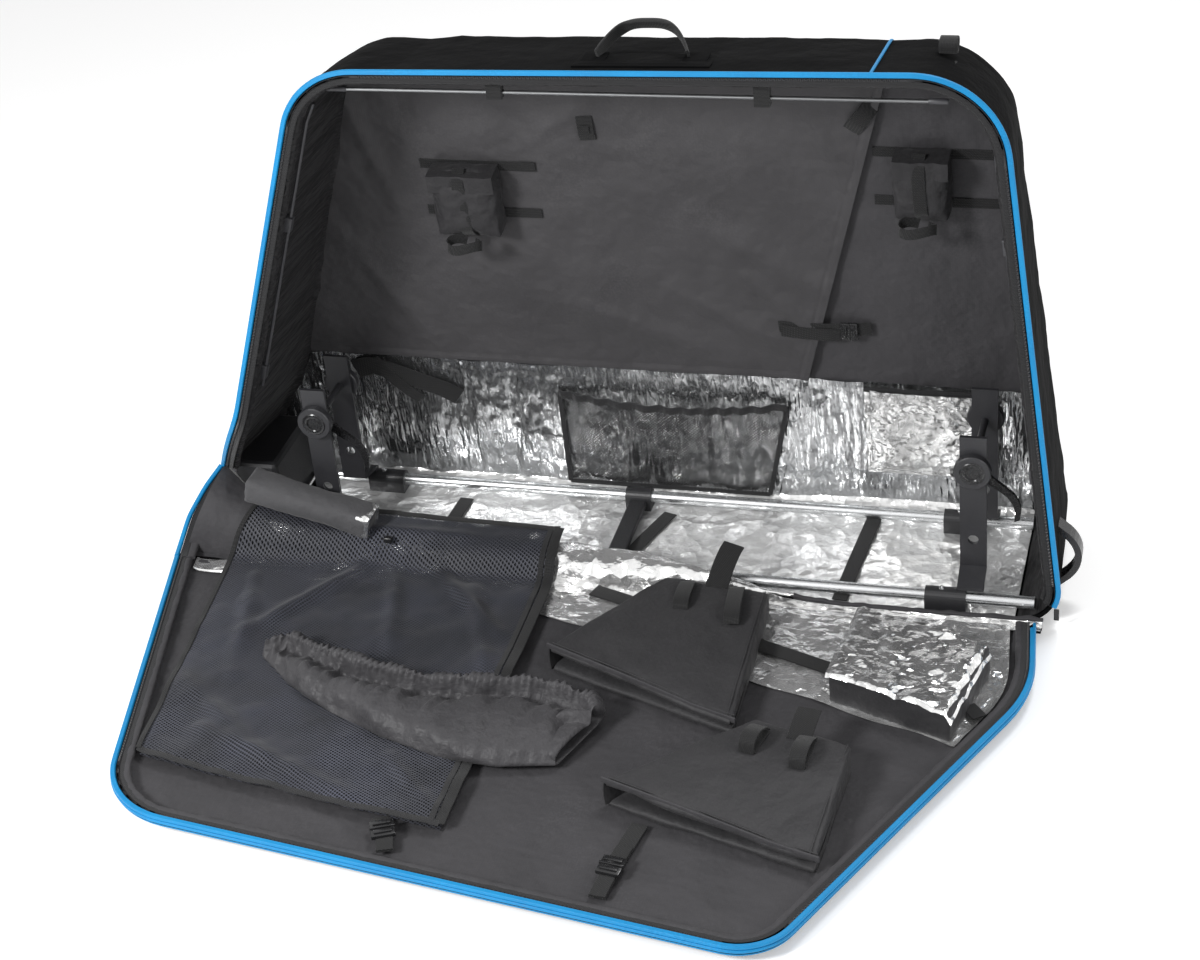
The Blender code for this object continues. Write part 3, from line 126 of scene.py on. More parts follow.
BODY = even(rounded([
    (ZIP_X, ZIP_Z, 0), (KNEE_X, KNEE_Z, 0.20), (TOP_LEFT, BODY_HEIGHT, 0.125),
    (TOP_RIGHT, BODY_HEIGHT + TOP_RISE, 0.130), (BASE_RIGHT, 0, 0.065), (KNEE_X, 0, 0)]), OUTLINE_STEP)
BODY_OUT = left_of(BODY)
LID = even(rounded([
    (-0.742, LID_REAR, 0), (-0.596, -0.651, 0.150), (0.390, -0.788, 0.085), (0.664, -0.200, 0.250),
    (0.647, LID_REAR, 0)]), OUTLINE_STEP)
LID_IN = left_of(LID)


def depth_at(z):
    """Outer face of the back wall, which leans forward towards the top."""
    return FLOOR_DEPTH - LEAN * z


def back_inset(out):
    """How far a wall draws in towards the back, by its outward direction."""
    return BACK_INSET * abs(out[0]) + (TOP_INSET * out[1] if out[1] > 0 else 0)


def rim_front(p):
    """Where a wall starts at the opening; the lower left of the rim draws back to the zip's end."""
    if p[0] > 0 or p[1] >= KNEE_Z:
        return 0.0
    share = min(1.0, (KNEE_Z - p[1]) / (KNEE_Z - ZIP_Z))
    return ZIP_Y * share ** 1.4


def on_back(x, z, off):
    """A place on the back wall, off from its outer face towards the opening."""
    scale = off / sqrt(1 + LEAN ** 2)
    return np.array([x, depth_at(z) - scale, z - LEAN * scale])


def rough(points, scale, seed=0.0, octaves=3):
    """A noise value from -1 to 1 for each point."""
    made = np.empty(len(points))
    for n, p in enumerate(points):
        at = (p[0] * scale + seed, p[1] * scale - seed, p[2] * scale + seed * 0.7)
        made[n] = noise.fractal(at, FALLOFF, OCTAVE_STEP, octaves)
    return made


def ridges(flat, lines):
    """Height of soft folds at 2D places: each line is (x, y, x, y, width, height)."""
    total = np.zeros(len(flat))
    for x0, y0, x1, y1, width, height in lines:
        a, run = np.array([x0, y0]), np.array([x1 - x0, y1 - y0])
        t = ((flat - a) @ run) / (run @ run)
        near = a + np.clip(t, 0, 1)[:, None] * run
        gap = np.linalg.norm(flat - near, axis=1)
        fade = np.clip(1.25 - np.abs(np.clip(t, 0, 1) - 0.5) * 1.6, 0, 1)
        total += height * fade * np.exp(-(gap / width) ** 2)
    return total


def edge_gap(flat, path):
    """Distance of 2D places from a path."""
    best = np.full(len(flat), 9.0)
    for a, b in zip(path[:-1], path[1:]):
        run = b - a
        t = np.clip(((flat - a) @ run) / (run @ run), 0, 1)
        best = np.minimum(best, np.linalg.norm(flat - a - t[:, None] * run, axis=1))
    return best


# ---------- making pieces ----------

def calm():
    """Nothing selected, in object mode."""
    if bpy.context.mode != "OBJECT":
        bpy.ops.object.mode_set(mode="OBJECT")
    bpy.ops.object.select_all(action="DESELECT")


def only(obj):
    calm()
    obj.select_set(True)
    bpy.context.view_layer.objects.active = obj


def apply_all(obj):
    only(obj)
    for step in list(obj.modifiers):
        bpy.ops.object.modifier_apply(modifier=step.name)
    return obj


def settle(obj):
    """The object's place put into its mesh."""
    only(obj)
    bpy.ops.object.transform_apply(location=True, rotation=True, scale=True)
    return obj


def linked(name, data):
    """A new object in the scene."""
    obj = bpy.data.objects.new(name, data)
    bpy.context.scene.collection.objects.link(obj)
    return obj


def worked(obj, kind, **settings):
    """A piece with one modifier of a kind added, set and applied."""
    step = obj.modifiers.new(kind.lower(), kind)
    for key, value in settings.items():
        setattr(step, key, value)
    return apply_all(obj)


def reshaped(obj, places):
    """A mesh with its points moved to new places."""
    obj.data.vertices.foreach_set("co", places.reshape(-1))
    obj.data.update()
    return obj


def grid_piece(rows, flip=False):
    """A grid primitive with its points moved onto rows of places, keeping its UV map."""
    rows = np.asarray(rows, float)
    if flip:
        rows = rows[:, ::-1]
    m, n = rows.shape[:2]
    calm()
    bpy.ops.mesh.primitive_grid_add(x_subdivisions=n - 1, y_subdivisions=m - 1, size=1)
    return reshaped(bpy.context.object, rows)


def shares(rows):
    """How far each place of a grid is along its rows and up its columns, from 0 to 1."""
    m, n = rows.shape[:2]
    return np.meshgrid(np.linspace(0, 1, n), np.linspace(0, 1, m))


def between(low, high, left, right, nu, nv):
    """Rows of places between four edges: low and high run the same way, left and right go up."""
    low, high = even(low, count=nu), even(high, count=nu)
    left, right = even(left, count=nv), even(right, count=nv)
    u = np.linspace(0, 1, nu)[None, :, None]
    v = np.linspace(0, 1, nv)[:, None, None]
    flat = (1 - v) * low[None] + v * high[None] + (1 - u) * left[:, None] + u * right[:, None]
    corners = ((1 - u) * (1 - v) * low[0] + u * (1 - v) * low[-1]
               + (1 - u) * v * high[0] + u * v * high[-1])
    return flat - corners


def quad(low_left, low_right, high_left, high_right, nu, nv):
    """Rows of places between four corners."""
    return between([low_left, low_right], [high_left, high_right], [low_left, high_left],
                   [low_right, high_right], nu, nv)


def thicken(obj, thickness, offset=-1.0):
    """A wall under a sheet's own face."""
    return worked(obj, "SOLIDIFY", thickness=thickness, offset=offset, use_even_offset=False)


def subdivide(obj):
    return worked(obj, "SUBSURF", levels=1, render_levels=1)


def shape_of(obj, what="co"):
    """Places of a mesh's points as an array, or their normals."""
    made = np.empty(len(obj.data.vertices) * 3)
    obj.data.vertices.foreach_get(what, made)
    return made.reshape(-1, 3)


def push(obj, amount):
    """Points moved along their normals."""
    return reshaped(obj, shape_of(obj) + shape_of(obj, "normal") * np.reshape(amount, (-1, 1)))


def swept(centres, across, profile, up=None):
    """A closed tube of any section along a line of places: the profile is in (across, up)."""
    centres = np.asarray(centres, float)
    across = np.broadcast_to(np.asarray(across, float), centres.shape)
    run = np.gradient(centres, axis=0)
    run /= np.linalg.norm(run, axis=1)[:, None]
    across = across - run * (across * run).sum(1)[:, None]
    across = across / np.linalg.norm(across, axis=1)[:, None]
    rise = np.cross(across, run)
    if up is not None and (rise @ np.asarray(up, float)).mean() < 0:
        rise = -rise
    profile = np.asarray(profile, float)
    if profile.ndim == 2:
        profile = np.broadcast_to(profile, (len(centres), *profile.shape))
    profile = np.concatenate([profile, profile[:, :1]], axis=1)
    rows = centres[:, None] + across[:, None] * profile[:, :, :1] + rise[:, None] * profile[:, :, 1:]
    return sewn(grid_piece(rows))


def sewn(obj, distance=1e-6, closed=True):
    """A mesh with its doubled points merged; a closed one has its holes filled and faces outwards."""
    bm = bmesh.new()
    bm.from_mesh(obj.data)
    bmesh.ops.remove_doubles(bm, verts=bm.verts, dist=distance)
    if closed:
        bmesh.ops.holes_fill(bm, edges=[e for e in bm.edges if e.is_boundary], sides=0)
        bmesh.ops.recalc_face_normals(bm, faces=bm.faces)
    bm.to_mesh(obj.data)
    bm.free()
    return obj


def oval(width, height, count=16, power=2.0):
    """A rounded profile; a higher power makes it squarer."""
    made = []
    for k in range(count):
        c, s = cos(2 * pi * k / count), sin(2 * pi * k / count)
        made.append((width / 2 * abs(c) ** (2 / power) * (1 if c >= 0 else -1),
                     height / 2 * abs(s) ** (2 / power) * (1 if s >= 0 else -1)))
    return made


def strap(points, across, width, thickness=0.0018, step=0.004, up=None, ease=2):
    """Flat webbing along a line of places."""
    line = smooth(even(points, step), ease)
    return swept(line, across, oval(width, thickness, 12, 6), up)


def merged(pieces):
    """Several shapes as one object."""
    calm()
    for piece in pieces:
        piece.select_set(True)
    bpy.context.view_layer.objects.active = pieces[0]
    bpy.ops.object.join()
    return bpy.context.object


def box_piece(size, place=Matrix.Identity(4), bevel=0.001, segments=2):
    """A block with bevelled edges at a placing."""
    calm()
    bpy.ops.mesh.primitive_cube_add(size=1)
    obj = bpy.context.object
    obj.scale = size
    settle(obj)
    bpy.ops.object.mode_set(mode="EDIT")
    bpy.ops.mesh.select_all(action="SELECT")
    bpy.ops.mesh.bevel(offset=bevel, offset_pct=0, segments=segments, affect="EDGES")
    bpy.ops.object.mode_set(mode="OBJECT")
    obj.data.transform(place)
    return obj


def turned(profile, place=Matrix.Identity(4), steps=32):
    """A turned shape: profile is (radius, height), spun about the placing's Z."""
    rows = []
    for k in range(steps + 1):
        a = 2 * pi * k / steps
        rows.append([(r * cos(a), r * sin(a), h) for r, h in profile])
    obj = sewn(grid_piece(rows))
    obj.data.transform(place)
    return obj


def axes(origin, along, across):
    """A placing whose local X and Y are the two directions given, at right angles."""
    x = Vector(along).normalized()
    z = x.cross(Vector(across)).normalized()
    turn = Matrix((x, z.cross(x), z)).transposed().to_4x4()
    return Matrix.Translation(Vector(origin)) @ turn


def copies(template, places):
    """Copies of a small shape at many placings, as one mesh."""
    co = shape_of(template)
    faces = [list(p.vertices) for p in template.data.polygons]
    points, polys = [], []
    for n, place in enumerate(places):
        turn = np.array(place)
        points.append(co @ turn[:3, :3].T + turn[:3, 3])
        polys += [[v + n * len(co) for v in face] for face in faces]
    data = bpy.data.meshes.new("copies")
    data.from_pydata(np.concatenate(points).tolist(), [], polys)
    data.update()
    bpy.data.objects.remove(template, do_unlink=True)
    return linked("copies", data)


def soft_copy(node, voxel, ease, shrink):
    """A copy of a CAD solid as an even mesh, its edges eased and its faces drawn in."""
    obj = sewn(linked(node + "_soft", NODES[node].data.copy()), 1e-5, False)
    worked(obj, "REMESH", mode="VOXEL", voxel_size=voxel)
    worked(obj, "SMOOTH", iterations=ease, factor=0.5)
    return push(obj, np.full(len(obj.data.vertices), -shrink))


def puff(obj, pressure, cap, frames=20):
    """Blow a padded piece up as cloth, with a limit on how far its points move."""
    before = shape_of(obj)
    step = obj.modifiers.new("cloth", "CLOTH")
    cloth = step.settings
    cloth.use_pressure = True
    cloth.uniform_pressure_force = pressure
    cloth.effector_weights.gravity = 0
    cloth.tension_stiffness = cloth.compression_stiffness = 12
    cloth.shear_stiffness = 6
    step.point_cache.frame_start, step.point_cache.frame_end = 1, frames
    scene = bpy.context.scene
    for n in range(1, frames + 1):
        scene.frame_set(n)
    apply_all(obj)
    scene.frame_set(1)
    moved = shape_of(obj) - before
    far = np.linalg.norm(moved, axis=1)
    moved *= np.minimum(1, cap / np.maximum(far, 1e-9))[:, None]
    return reshaped(obj, before + moved)


def as_space(flat):
    """Places (x, z) of the back wall's plane in space."""
    return np.stack([flat[:, 0], np.zeros(len(flat)), flat[:, 1]], axis=1)


def at_height(flat, z=0.0):
    """Places (x, y) at one height."""
    return np.column_stack([flat, np.full(len(flat), z)])


def raised(rows, z, flip=False):
    """A grid piece from rows of (x, y) and the height of each place."""
    return grid_piece(np.column_stack([rows.reshape(-1, 2), z]).reshape(*rows.shape[:2], 3), flip)


def facing_way(rows, axis, sign):
    """A grid of places whose normals point a given way along an axis."""
    obj = grid_piece(rows)
    if shape_of(obj, "normal")[:, axis].mean() * sign < 0:
        bpy.data.objects.remove(obj, do_unlink=True)
        obj = grid_piece(rows, flip=True)
    return obj


def facing(place, direction):
    """A placing whose Z points along a direction."""
    turn = Vector(direction).to_track_quat("Z", "Y").to_matrix().to_4x4()
    return Matrix.Translation(Vector(place)) @ turn


def box_of(node):
    return (Vector(corner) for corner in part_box(node))


def clip_path(path, test):
    return path[np.array([test(p) for p in path])]


def eased(value):
    value = np.clip(value, 0, 1)
    return value * value * (3 - 2 * value)


# ---------- materials ----------

class Wires:
    """Short calls for adding linked nodes to a tree."""

    def __init__(self, tree):
        self.tree = tree

    def put(self, value, socket):
        if hasattr(value, "is_output"):
            self.tree.links.new(value, socket)
        elif value is not None:
            socket.default_value = value

    def node(self, kind, sockets, out=0, **settings):
        """A node with its settings and inputs given: one output of it, or all where out is None."""
        node = self.tree.nodes.new("ShaderNode" + kind)
        for key, value in settings.items():
            setattr(node, key, value)
        for label, value in sockets.items():
            self.put(value, node.inputs[label])
        return node.outputs if out is None else node.outputs[out]

    def math(self, kind, first, *others):
        """One operation on a value, or on each further one in turn."""
        for other in others or (None,):
            first = self.node("Math", {0: first, 1: other}, operation=kind)
        return first

    def times(self, *values):
        return self.math("MULTIPLY", *values)

    def plus(self, *values):
        return self.math("ADD", *values)

    def noise(self, vector, scale, detail=3.0, roughness=0.5):
        return self.node("TexNoise", {"Vector": vector, "Scale": scale, "Detail": detail,
                                      "Roughness": roughness})

    def cells(self, vector, scale):
        return self.node("TexVoronoi", {"Vector": vector, "Scale": scale}, "Distance")

    def place(self, scale=(1, 1, 1), turn=(0, 0, 0)):
        where = self.node("TexCoord", {}, "Object")
        return self.node("Mapping", {"Vector": where, "Scale": scale, "Rotation": turn})

    def sides(self, vector):
        return self.node("SeparateXYZ", {0: vector}, None)

    def spread(self, value, low, high, to_low=0.0, to_high=1.0):
        return self.node("MapRange", {"Value": value, "From Min": low, "From Max": high,
                                      "To Min": to_low, "To Max": to_high})

    def blend(self, share, a, b):
        a, b = ((*colour, 1) if isinstance(colour, tuple) else colour for colour in (a, b))
        return self.node("Mix", {0: share, 6: a, 7: b}, 2, data_type="RGBA")

    def group(self, tree, **values):
        return self.node("Group", values, None, node_tree=tree)

    def bump(self, height, distance, strength=1.0, under=None):
        return self.node("Bump", {"Distance": distance, "Strength": strength, "Height": height,
                                  "Normal": under})

    def surface(self, **values):
        """Inputs of the material's own shader."""
        shader = self.tree.nodes["Principled BSDF"]
        for label, value in values.items():
            self.put(value, shader.inputs[label.replace("_", " ")])


def new_group(name, inputs, outputs):
    """An empty shader group: its wires, what goes in and what comes out."""
    tree = bpy.data.node_groups.new(name, "ShaderNodeTree")
    for label, value in inputs.items():
        socket = tree.interface.new_socket(label, in_out="INPUT", socket_type="NodeSocketFloat")
        socket.default_value = value
    for label in outputs:
        tree.interface.new_socket(label, in_out="OUTPUT", socket_type="NodeSocketFloat")
    return Wires(tree), tree.nodes.new("NodeGroupInput").outputs, tree.nodes.new("NodeGroupOutput").inputs


def make_weave_group():
    """Plain weave from crossed threads in space, with uneven yarn."""
    w, given, out = new_group("weave", {"Threads": 700.0, "Uneven": 0.4}, ["Height", "Tone"])
    where = w.place()
    threads = [w.math("ABSOLUTE", w.math("SINE", w.times(side, given["Threads"])))
               for side in w.sides(where)]
    yarn = w.noise(where, w.times(given["Threads"], 0.7), 2)
    w.put(w.plus(w.times(w.plus(*threads), 0.33), w.times(yarn, given["Uneven"])), out["Height"])
    w.put(w.plus(w.times(w.noise(where, 9, 5, 0.6), 0.7), w.times(yarn, 0.3)), out["Tone"])
    return w.tree


def make_crumple_group():
    """Sharp creases and soft dents of crushed foil at two sizes."""
    w, given, out = new_group("crumple", {"Large": 22.0, "Small": 90.0, "Mix": 0.35}, ["Height", "Shine"])
    where = w.place()
    bend = w.node("TexNoise", {"Vector": where, "Scale": 14, "Detail": 2}, "Color")
    bent = w.node("VectorMath", {0: bend, 1: (0.05, 0.05, 0.05), 2: where}, operation="MULTIPLY_ADD")
    creased = w.plus(w.cells(bent, given["Large"]), w.times(w.cells(bent, given["Small"]), given["Mix"]))
    w.put(w.plus(creased, w.times(w.noise(where, 12, 4, 0.6), 0.9)), out["Height"])
    w.put(w.noise(where, 40, 4, 0.7), out["Shine"])
    return w.tree


def make_wear_group():
    """Dust and rubbed places: a soft mask with fine specks in it."""
    w, given, out = new_group("wear", {"Scale": 8.0, "Amount": 0.3}, ["Mask"])
    where = w.place()
    broad = w.spread(w.noise(where, given["Scale"], 6, 0.65), 0.45, 0.75)
    specks = w.spread(w.noise(where, w.times(given["Scale"], 40), 2), 0.4, 0.7)
    w.put(w.times(broad, specks, given["Amount"]), out["Mask"])
    return w.tree


def make_rib_group():
    """Ribs and diagonal twill of webbing, in space."""
    w, given, out = new_group("ribs", {"Ribs": 900.0, "Twill": 1.0}, ["Height"])
    x, y, _ = w.sides(w.place(turn=(0.3, 0.4, 0.78)))
    one, two = (w.math("SINE", w.times(side, given["Ribs"])) for side in (x, y))
    w.put(w.plus(w.times(one, two, given["Twill"]), w.times(one, 0.4)), out["Height"])
    return w.tree


WEAVE = make_weave_group()
CRUMPLE = make_crumple_group()
WEAR = make_wear_group()
RIBS = make_rib_group()


def start_material(name):
    mat = bpy.data.materials.new(name)
    mat.use_nodes = True
    return mat, Wires(mat.node_tree)


def tinted(colour, by, plus=0.0):
    return tuple(c * by + plus for c in colour)


def cloth_material(name, dark, light, threads, depth, roughness, sheen, wrinkle=0.0, wrinkle_scale=18.0,
                   shine=0.3, dusty=0.35, stretch=(1, 1, 1)):
    """Woven cloth between two tones, with soft small wrinkles."""
    mat, w = start_material(name)
    woven = w.group(WEAVE, Threads=threads, Uneven=0.5)
    dust = w.group(WEAR, Scale=7.0, Amount=dusty)
    tone = w.blend(w.spread(woven["Tone"], 0.3, 0.75), dark, light)
    soft = w.bump(w.noise(w.place(stretch), wrinkle_scale, 4, 0.55), wrinkle) if wrinkle else None
    w.surface(Base_Color=w.blend(dust["Mask"], tone, tinted(light, 1.7, 0.002)),
              Roughness=w.spread(woven["Tone"], 0.3, 0.8, roughness - 0.08, roughness + 0.08),
              Sheen_Weight=sheen, Sheen_Roughness=0.5, Specular_IOR_Level=shine,
              Normal=w.bump(woven["Height"], depth, 0.7, soft))
    return mat


def foil_material(name, large, small, depth, tint, stretch, metal, dull):
    """Bright crushed foil with a faint woven backing."""
    mat, w = start_material(name)
    crushed = w.group(CRUMPLE, Large=large, Small=small, Mix=0.35)
    woven = w.group(WEAVE, Threads=1500.0, Uneven=0.3)
    pleats = w.bump(w.noise(w.place(stretch), 1.0, 4, 0.6), 0.03) if stretch else None
    creases = w.bump(crushed["Height"], depth, 1.0, pleats)
    w.surface(Base_Color=w.blend(w.spread(crushed["Shine"], 0.35, 0.7), tint, tinted(tint, dull)),
              Roughness=w.spread(crushed["Shine"], 0.3, 0.75, 0.11, 0.27), Metallic=metal,
              Normal=w.bump(woven["Height"], 0.0002, 0.5, creases))
    return mat


def webbing_material(name, colour=(0.0062, 0.0062, 0.0066), ribs=2600.0):
    mat, w = start_material(name)
    ribbed = w.group(RIBS, Ribs=ribs, Twill=1.0)
    dust = w.group(WEAR, Scale=14.0, Amount=0.5)
    w.surface(Base_Color=w.blend(dust["Mask"], colour, tinted(colour, 2.6)),
              Roughness=w.spread(ribbed["Height"], -1, 1.2, 0.62, 0.88), Sheen_Weight=0.15,
              Specular_IOR_Level=0.35, Normal=w.bump(ribbed["Height"], 0.0003, 0.8))
    return mat


def plastic_material(name, colour, roughness=0.42, grain=420.0, wear=0.35):
    """Moulded plastic or paint with a fine grain and rubbed spots."""
    mat, w = start_material(name)
    grainy = w.noise(w.place(), grain, 3)
    rubbed = w.group(WEAR, Scale=20.0, Amount=wear)
    w.surface(Base_Color=w.blend(rubbed["Mask"], colour, tinted(colour, 2.2, 0.01)),
              Roughness=w.spread(grainy, 0.3, 0.7, roughness - 0.07, roughness + 0.10),
              Normal=w.bump(grainy, 0.0002, 0.35))
    return mat


def metal_material(name, colour, roughness, along=(1, 1, 1)):
    """Drawn metal with fine lines along it."""
    mat, w = start_material(name)
    lines = w.noise(w.place(along), 60.0, 4, 0.6)
    marks = w.group(WEAR, Scale=16.0, Amount=0.5)
    w.surface(Base_Color=w.blend(marks["Mask"], colour, tinted(colour, 0.7)),
              Roughness=w.spread(lines, 0.3, 0.7, roughness - 0.06, roughness + 0.1), Metallic=1.0,
              Normal=w.bump(lines, 0.0001, 0.3))
    return mat


def mesh_material(name, colour, period, turn, axis, hole):
    """Knitted net: round holes in rows, open where the threads part."""
    mat, w = start_material(name)
    where = w.place(turn=turn)
    sides = w.sides(where)
    waves = [w.math("ABSOLUTE", w.math("SINE", w.times(sides[k], pi / period))) for k in (0, axis)]
    open_part = w.times(*waves)
    tone = w.noise(where, 6, 4, 0.6)
    yarn = w.blend(w.spread(tone, 0.38, 0.66), colour, tinted(colour, 2.4))
    # The yarn is darkened towards each hole's rim: painted shade between the threads.
    w.surface(Alpha=w.spread(open_part, hole, hole + 0.12, 1.0, 0.0),
              Base_Color=w.blend(w.spread(open_part, 0.10, hole, 0.0, 0.9), yarn, tinted(colour, 0.25)),
              Roughness=w.spread(tone, 0.3, 0.7, 0.55, 0.75), Sheen_Weight=0.2,
              Normal=w.bump(open_part, 0.0006, 0.8))
    return mat


MATERIALS = {
    "outer": cloth_material("outer_fabric", (0.0022, 0.0022, 0.0024), (0.0045, 0.0045, 0.0048),
                            620.0, 0.0004, 0.92, 0.0, 0.010, 9.0, 0.06, 0.15),
    # A darker copy of the lining cloth for the side walls, roof and rim roll inside: its lower tones are
    # painted shade inside the case.
    "inner": cloth_material("shaded_side_lining_cloth", (0.009, 0.0086, 0.0094), (0.019, 0.0182, 0.0195),
                            900.0, 0.0002, 0.62, 0.04, 0.030, 16.0, 0.3, 0.2, (1, 0.22, 1)),
    "lining": cloth_material("lining_cloth", (0.038, 0.037, 0.040), (0.056, 0.054, 0.058),
                             900.0, 0.0002, 0.72, 0.05, 0.020, 8.0),
    "divider": cloth_material("divider_cloth", (0.040, 0.0385, 0.041), (0.058, 0.056, 0.059),
                              900.0, 0.0002, 0.62, 0.05, 0.030, 5.0),
    "pad": cloth_material("pad_cloth", (0.026, 0.0255, 0.0275), (0.042, 0.041, 0.043),
                          1000.0, 0.0002, 0.62, 0.05, 0.010, 14.0),
    "pouch": cloth_material("pouch_cloth", (0.018, 0.0175, 0.019), (0.030, 0.029, 0.031),
                            1000.0, 0.0002, 0.62, 0.05, 0.010, 14.0),
    "sleeve": cloth_material("sleeve_cloth", (0.060, 0.0595, 0.063), (0.088, 0.087, 0.091),
                             1000.0, 0.0002, 0.75, 0.1, 0.006, 18.0),
    "gathered": cloth_material("gathered_cloth", (0.042, 0.041, 0.044), (0.062, 0.060, 0.064),
                               1000.0, 0.0002, 0.55, 0.05, 0.012, 18.0),
    "piping": cloth_material("piping_cloth", (0.004, 0.19, 0.44), (0.007, 0.27, 0.57),
                             1500.0, 0.0003, 0.5, 0.0),
    "foil": foil_material("foil", 9.0, 34.0, 0.0115, (0.97, 0.97, 0.965), None, 0.80, 0.80),
    "floor_foil": foil_material("floor_foil", 9.0, 34.0, 0.0100, (0.99, 0.99, 0.985), None, 0.58, 0.86),
    # The back wall's foil is a darker copy of the same foil: its lower tint is painted shade and dark
    # reflections of the case's interior.
    "shaded_wall_foil": foil_material("shaded_wall_foil", 8.0, 30.0, 0.0045, (0.70, 0.71, 0.72), (14, 14, 3), 0.96, 0.60),
    "box_foil": foil_material("box_foil", 12.0, 38.0, 0.0120, (0.97, 0.97, 0.965), None, 0.90, 0.62),
    "webbing": webbing_material("webbing"),
    "tape": webbing_material("zip_tape", (0.010, 0.010, 0.011), 3000.0),
    "elastic": webbing_material("elastic", (0.014, 0.014, 0.015), 1800.0),
    "plastic": plastic_material("moulded_plastic", (0.020, 0.020, 0.022)),
    "gloss": plastic_material("glossy_plastic", (0.014, 0.014, 0.015), 0.25, 300.0, 0.2),
    "teeth": plastic_material("zip_teeth", (0.022, 0.022, 0.024), 0.35, 600.0, 0.3),
    "paint": plastic_material("black_paint", (0.026, 0.026, 0.029), 0.38, 260.0, 0.5),
    "rod": plastic_material("dark_rod", (0.050, 0.050, 0.055), 0.4, 500.0, 0.5),
    "rubber": plastic_material("rubber", (0.020, 0.020, 0.021), 0.75, 200.0, 0.6),
    "aluminium": metal_material("aluminium", (0.70, 0.71, 0.72), 0.26, (2, 40, 40)),
    "graphite": metal_material("dark_aluminium", (0.26, 0.265, 0.27), 0.34, (2, 40, 40)),
    "steel": metal_material("steel", (0.56, 0.57, 0.58), 0.2),
    "net": mesh_material("net", (0.026, 0.028, 0.040), 0.0046, (0, 0, 0.5), 1, 0.50),
    "pocket_net": mesh_material("pocket_net", (0.008, 0.008, 0.009), 0.0040, (0, 0.785, 0), 2, 0.17),
}


def finish(obj, name, material, body="case", stands=(), angle=40):
    """Name a piece, give it its material and body, and say which solids it stands for."""
    obj.name = obj.data.name = name
    obj.data.materials.clear()
    obj.data.materials.append(MATERIALS[material])
    only(obj)
    bpy.ops.object.shade_smooth_by_angle(angle=radians(angle))
    if body:
        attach(obj, body)
    if stands:
        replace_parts(obj, *stands)
    calm()
    return obj


def lay(name, points, across, width, thickness, body="case", step=0.004, up=UP, material="webbing"):
    """Webbing along a line of places, finished."""
    return finish(strap(points, across, width, thickness, step, up), name, material, body)


def zip_along(side, tape_line, teeth_line, across, body, up=None):
    """The zip of the body or of the lid: its tape and its row of teeth."""
    tape = swept(tape_line, across, oval(0.0125, 0.0014, 10, 5), up)
    finish(tape, side + "_zip_tape", "tape", body, (side + "_zip",), 60)
    finish(make_teeth(teeth_line, across), side + "_zip_teeth", "teeth", body, (), 30)


# ---------- camera, light and floor ----------

def make_camera():
    """The photograph's viewpoint."""
    yaw, pitch, roll = radians(-17.91), radians(32.57), radians(-5.80)
    ahead = Vector((sin(yaw) * cos(pitch), cos(yaw) * cos(pitch), -sin(pitch)))
    right = Vector((cos(yaw), -sin(yaw), 0))
    up = right.cross(ahead)
    side = cos(roll) * right + sin(roll) * up
    top = -sin(roll) * right + cos(roll) * up
    camera = linked("camera", bpy.data.cameras.new("camera"))
    camera.data.lens, camera.data.sensor_width, camera.data.clip_start = 72, 36, 0.05
    turn = Matrix((side, top, -ahead)).transposed().to_4x4()
    camera.matrix_world = Matrix.Translation((0.932, -2.935, 2.175)) @ turn
    bpy.context.scene.camera = camera


def seen_directly(w):
    """1 for what the camera, a reflection or a refraction meets, 0 for what lights a surface."""
    path = w.node("LightPath", {}, None)
    return w.math("MAXIMUM", path["Is Camera Ray"], path["Is Glossy Ray"], path["Is Transmission Ray"])


def make_world():
    world = bpy.data.worlds.new("studio")
    bpy.context.scene.world = world
    world.use_nodes = True
    w, back = Wires(world.node_tree), world.node_tree.nodes["Background"]
    w.put(w.spread(seen_directly(w), 0, 1, 0.46, 1.0), back.inputs["Strength"])
    w.put((1, 1, 1, 1), back.inputs["Color"])


def area_light(name, place, target, size, power):
    data = bpy.data.lights.new(name, "AREA")
    data.shape, data.size, data.energy = "DISK", size, power
    lamp = linked(name, data)
    lamp.location = place
    lamp.rotation_euler = (Vector(target) - Vector(place)).to_track_quat("-Z", "Y").to_euler()


def make_floor():
    calm()
    bpy.ops.mesh.primitive_plane_add(size=14, location=(0, 0, -0.0006))
    ground = settle(bpy.context.object)
    ground.name = "studio_floor"
    mat, w = start_material("studio_floor")
    w.surface(Base_Color=(0.97, 0.97, 0.97, 1), Roughness=0.9, Specular_IOR_Level=0.1,
              Emission_Color=(1, 1, 1, 1), Emission_Strength=0.28)
    ground.data.materials.append(mat)


make_camera()
make_world()
make_floor()
area_light("key", (-1.7, -2.5, 2.2), (0, 0, 0.25), 0.8, 96)
area_light("fill", (2.6, -1.6, 1.6), (0, 0, 0.3), 1.6, 18)
area_light("top", (0.9, 0.9, 3.0), (0, -0.2, 0.1), 1.0, 34)
bpy.context.scene.view_settings.view_transform = "Standard"


# ---------- walls of the body ----------

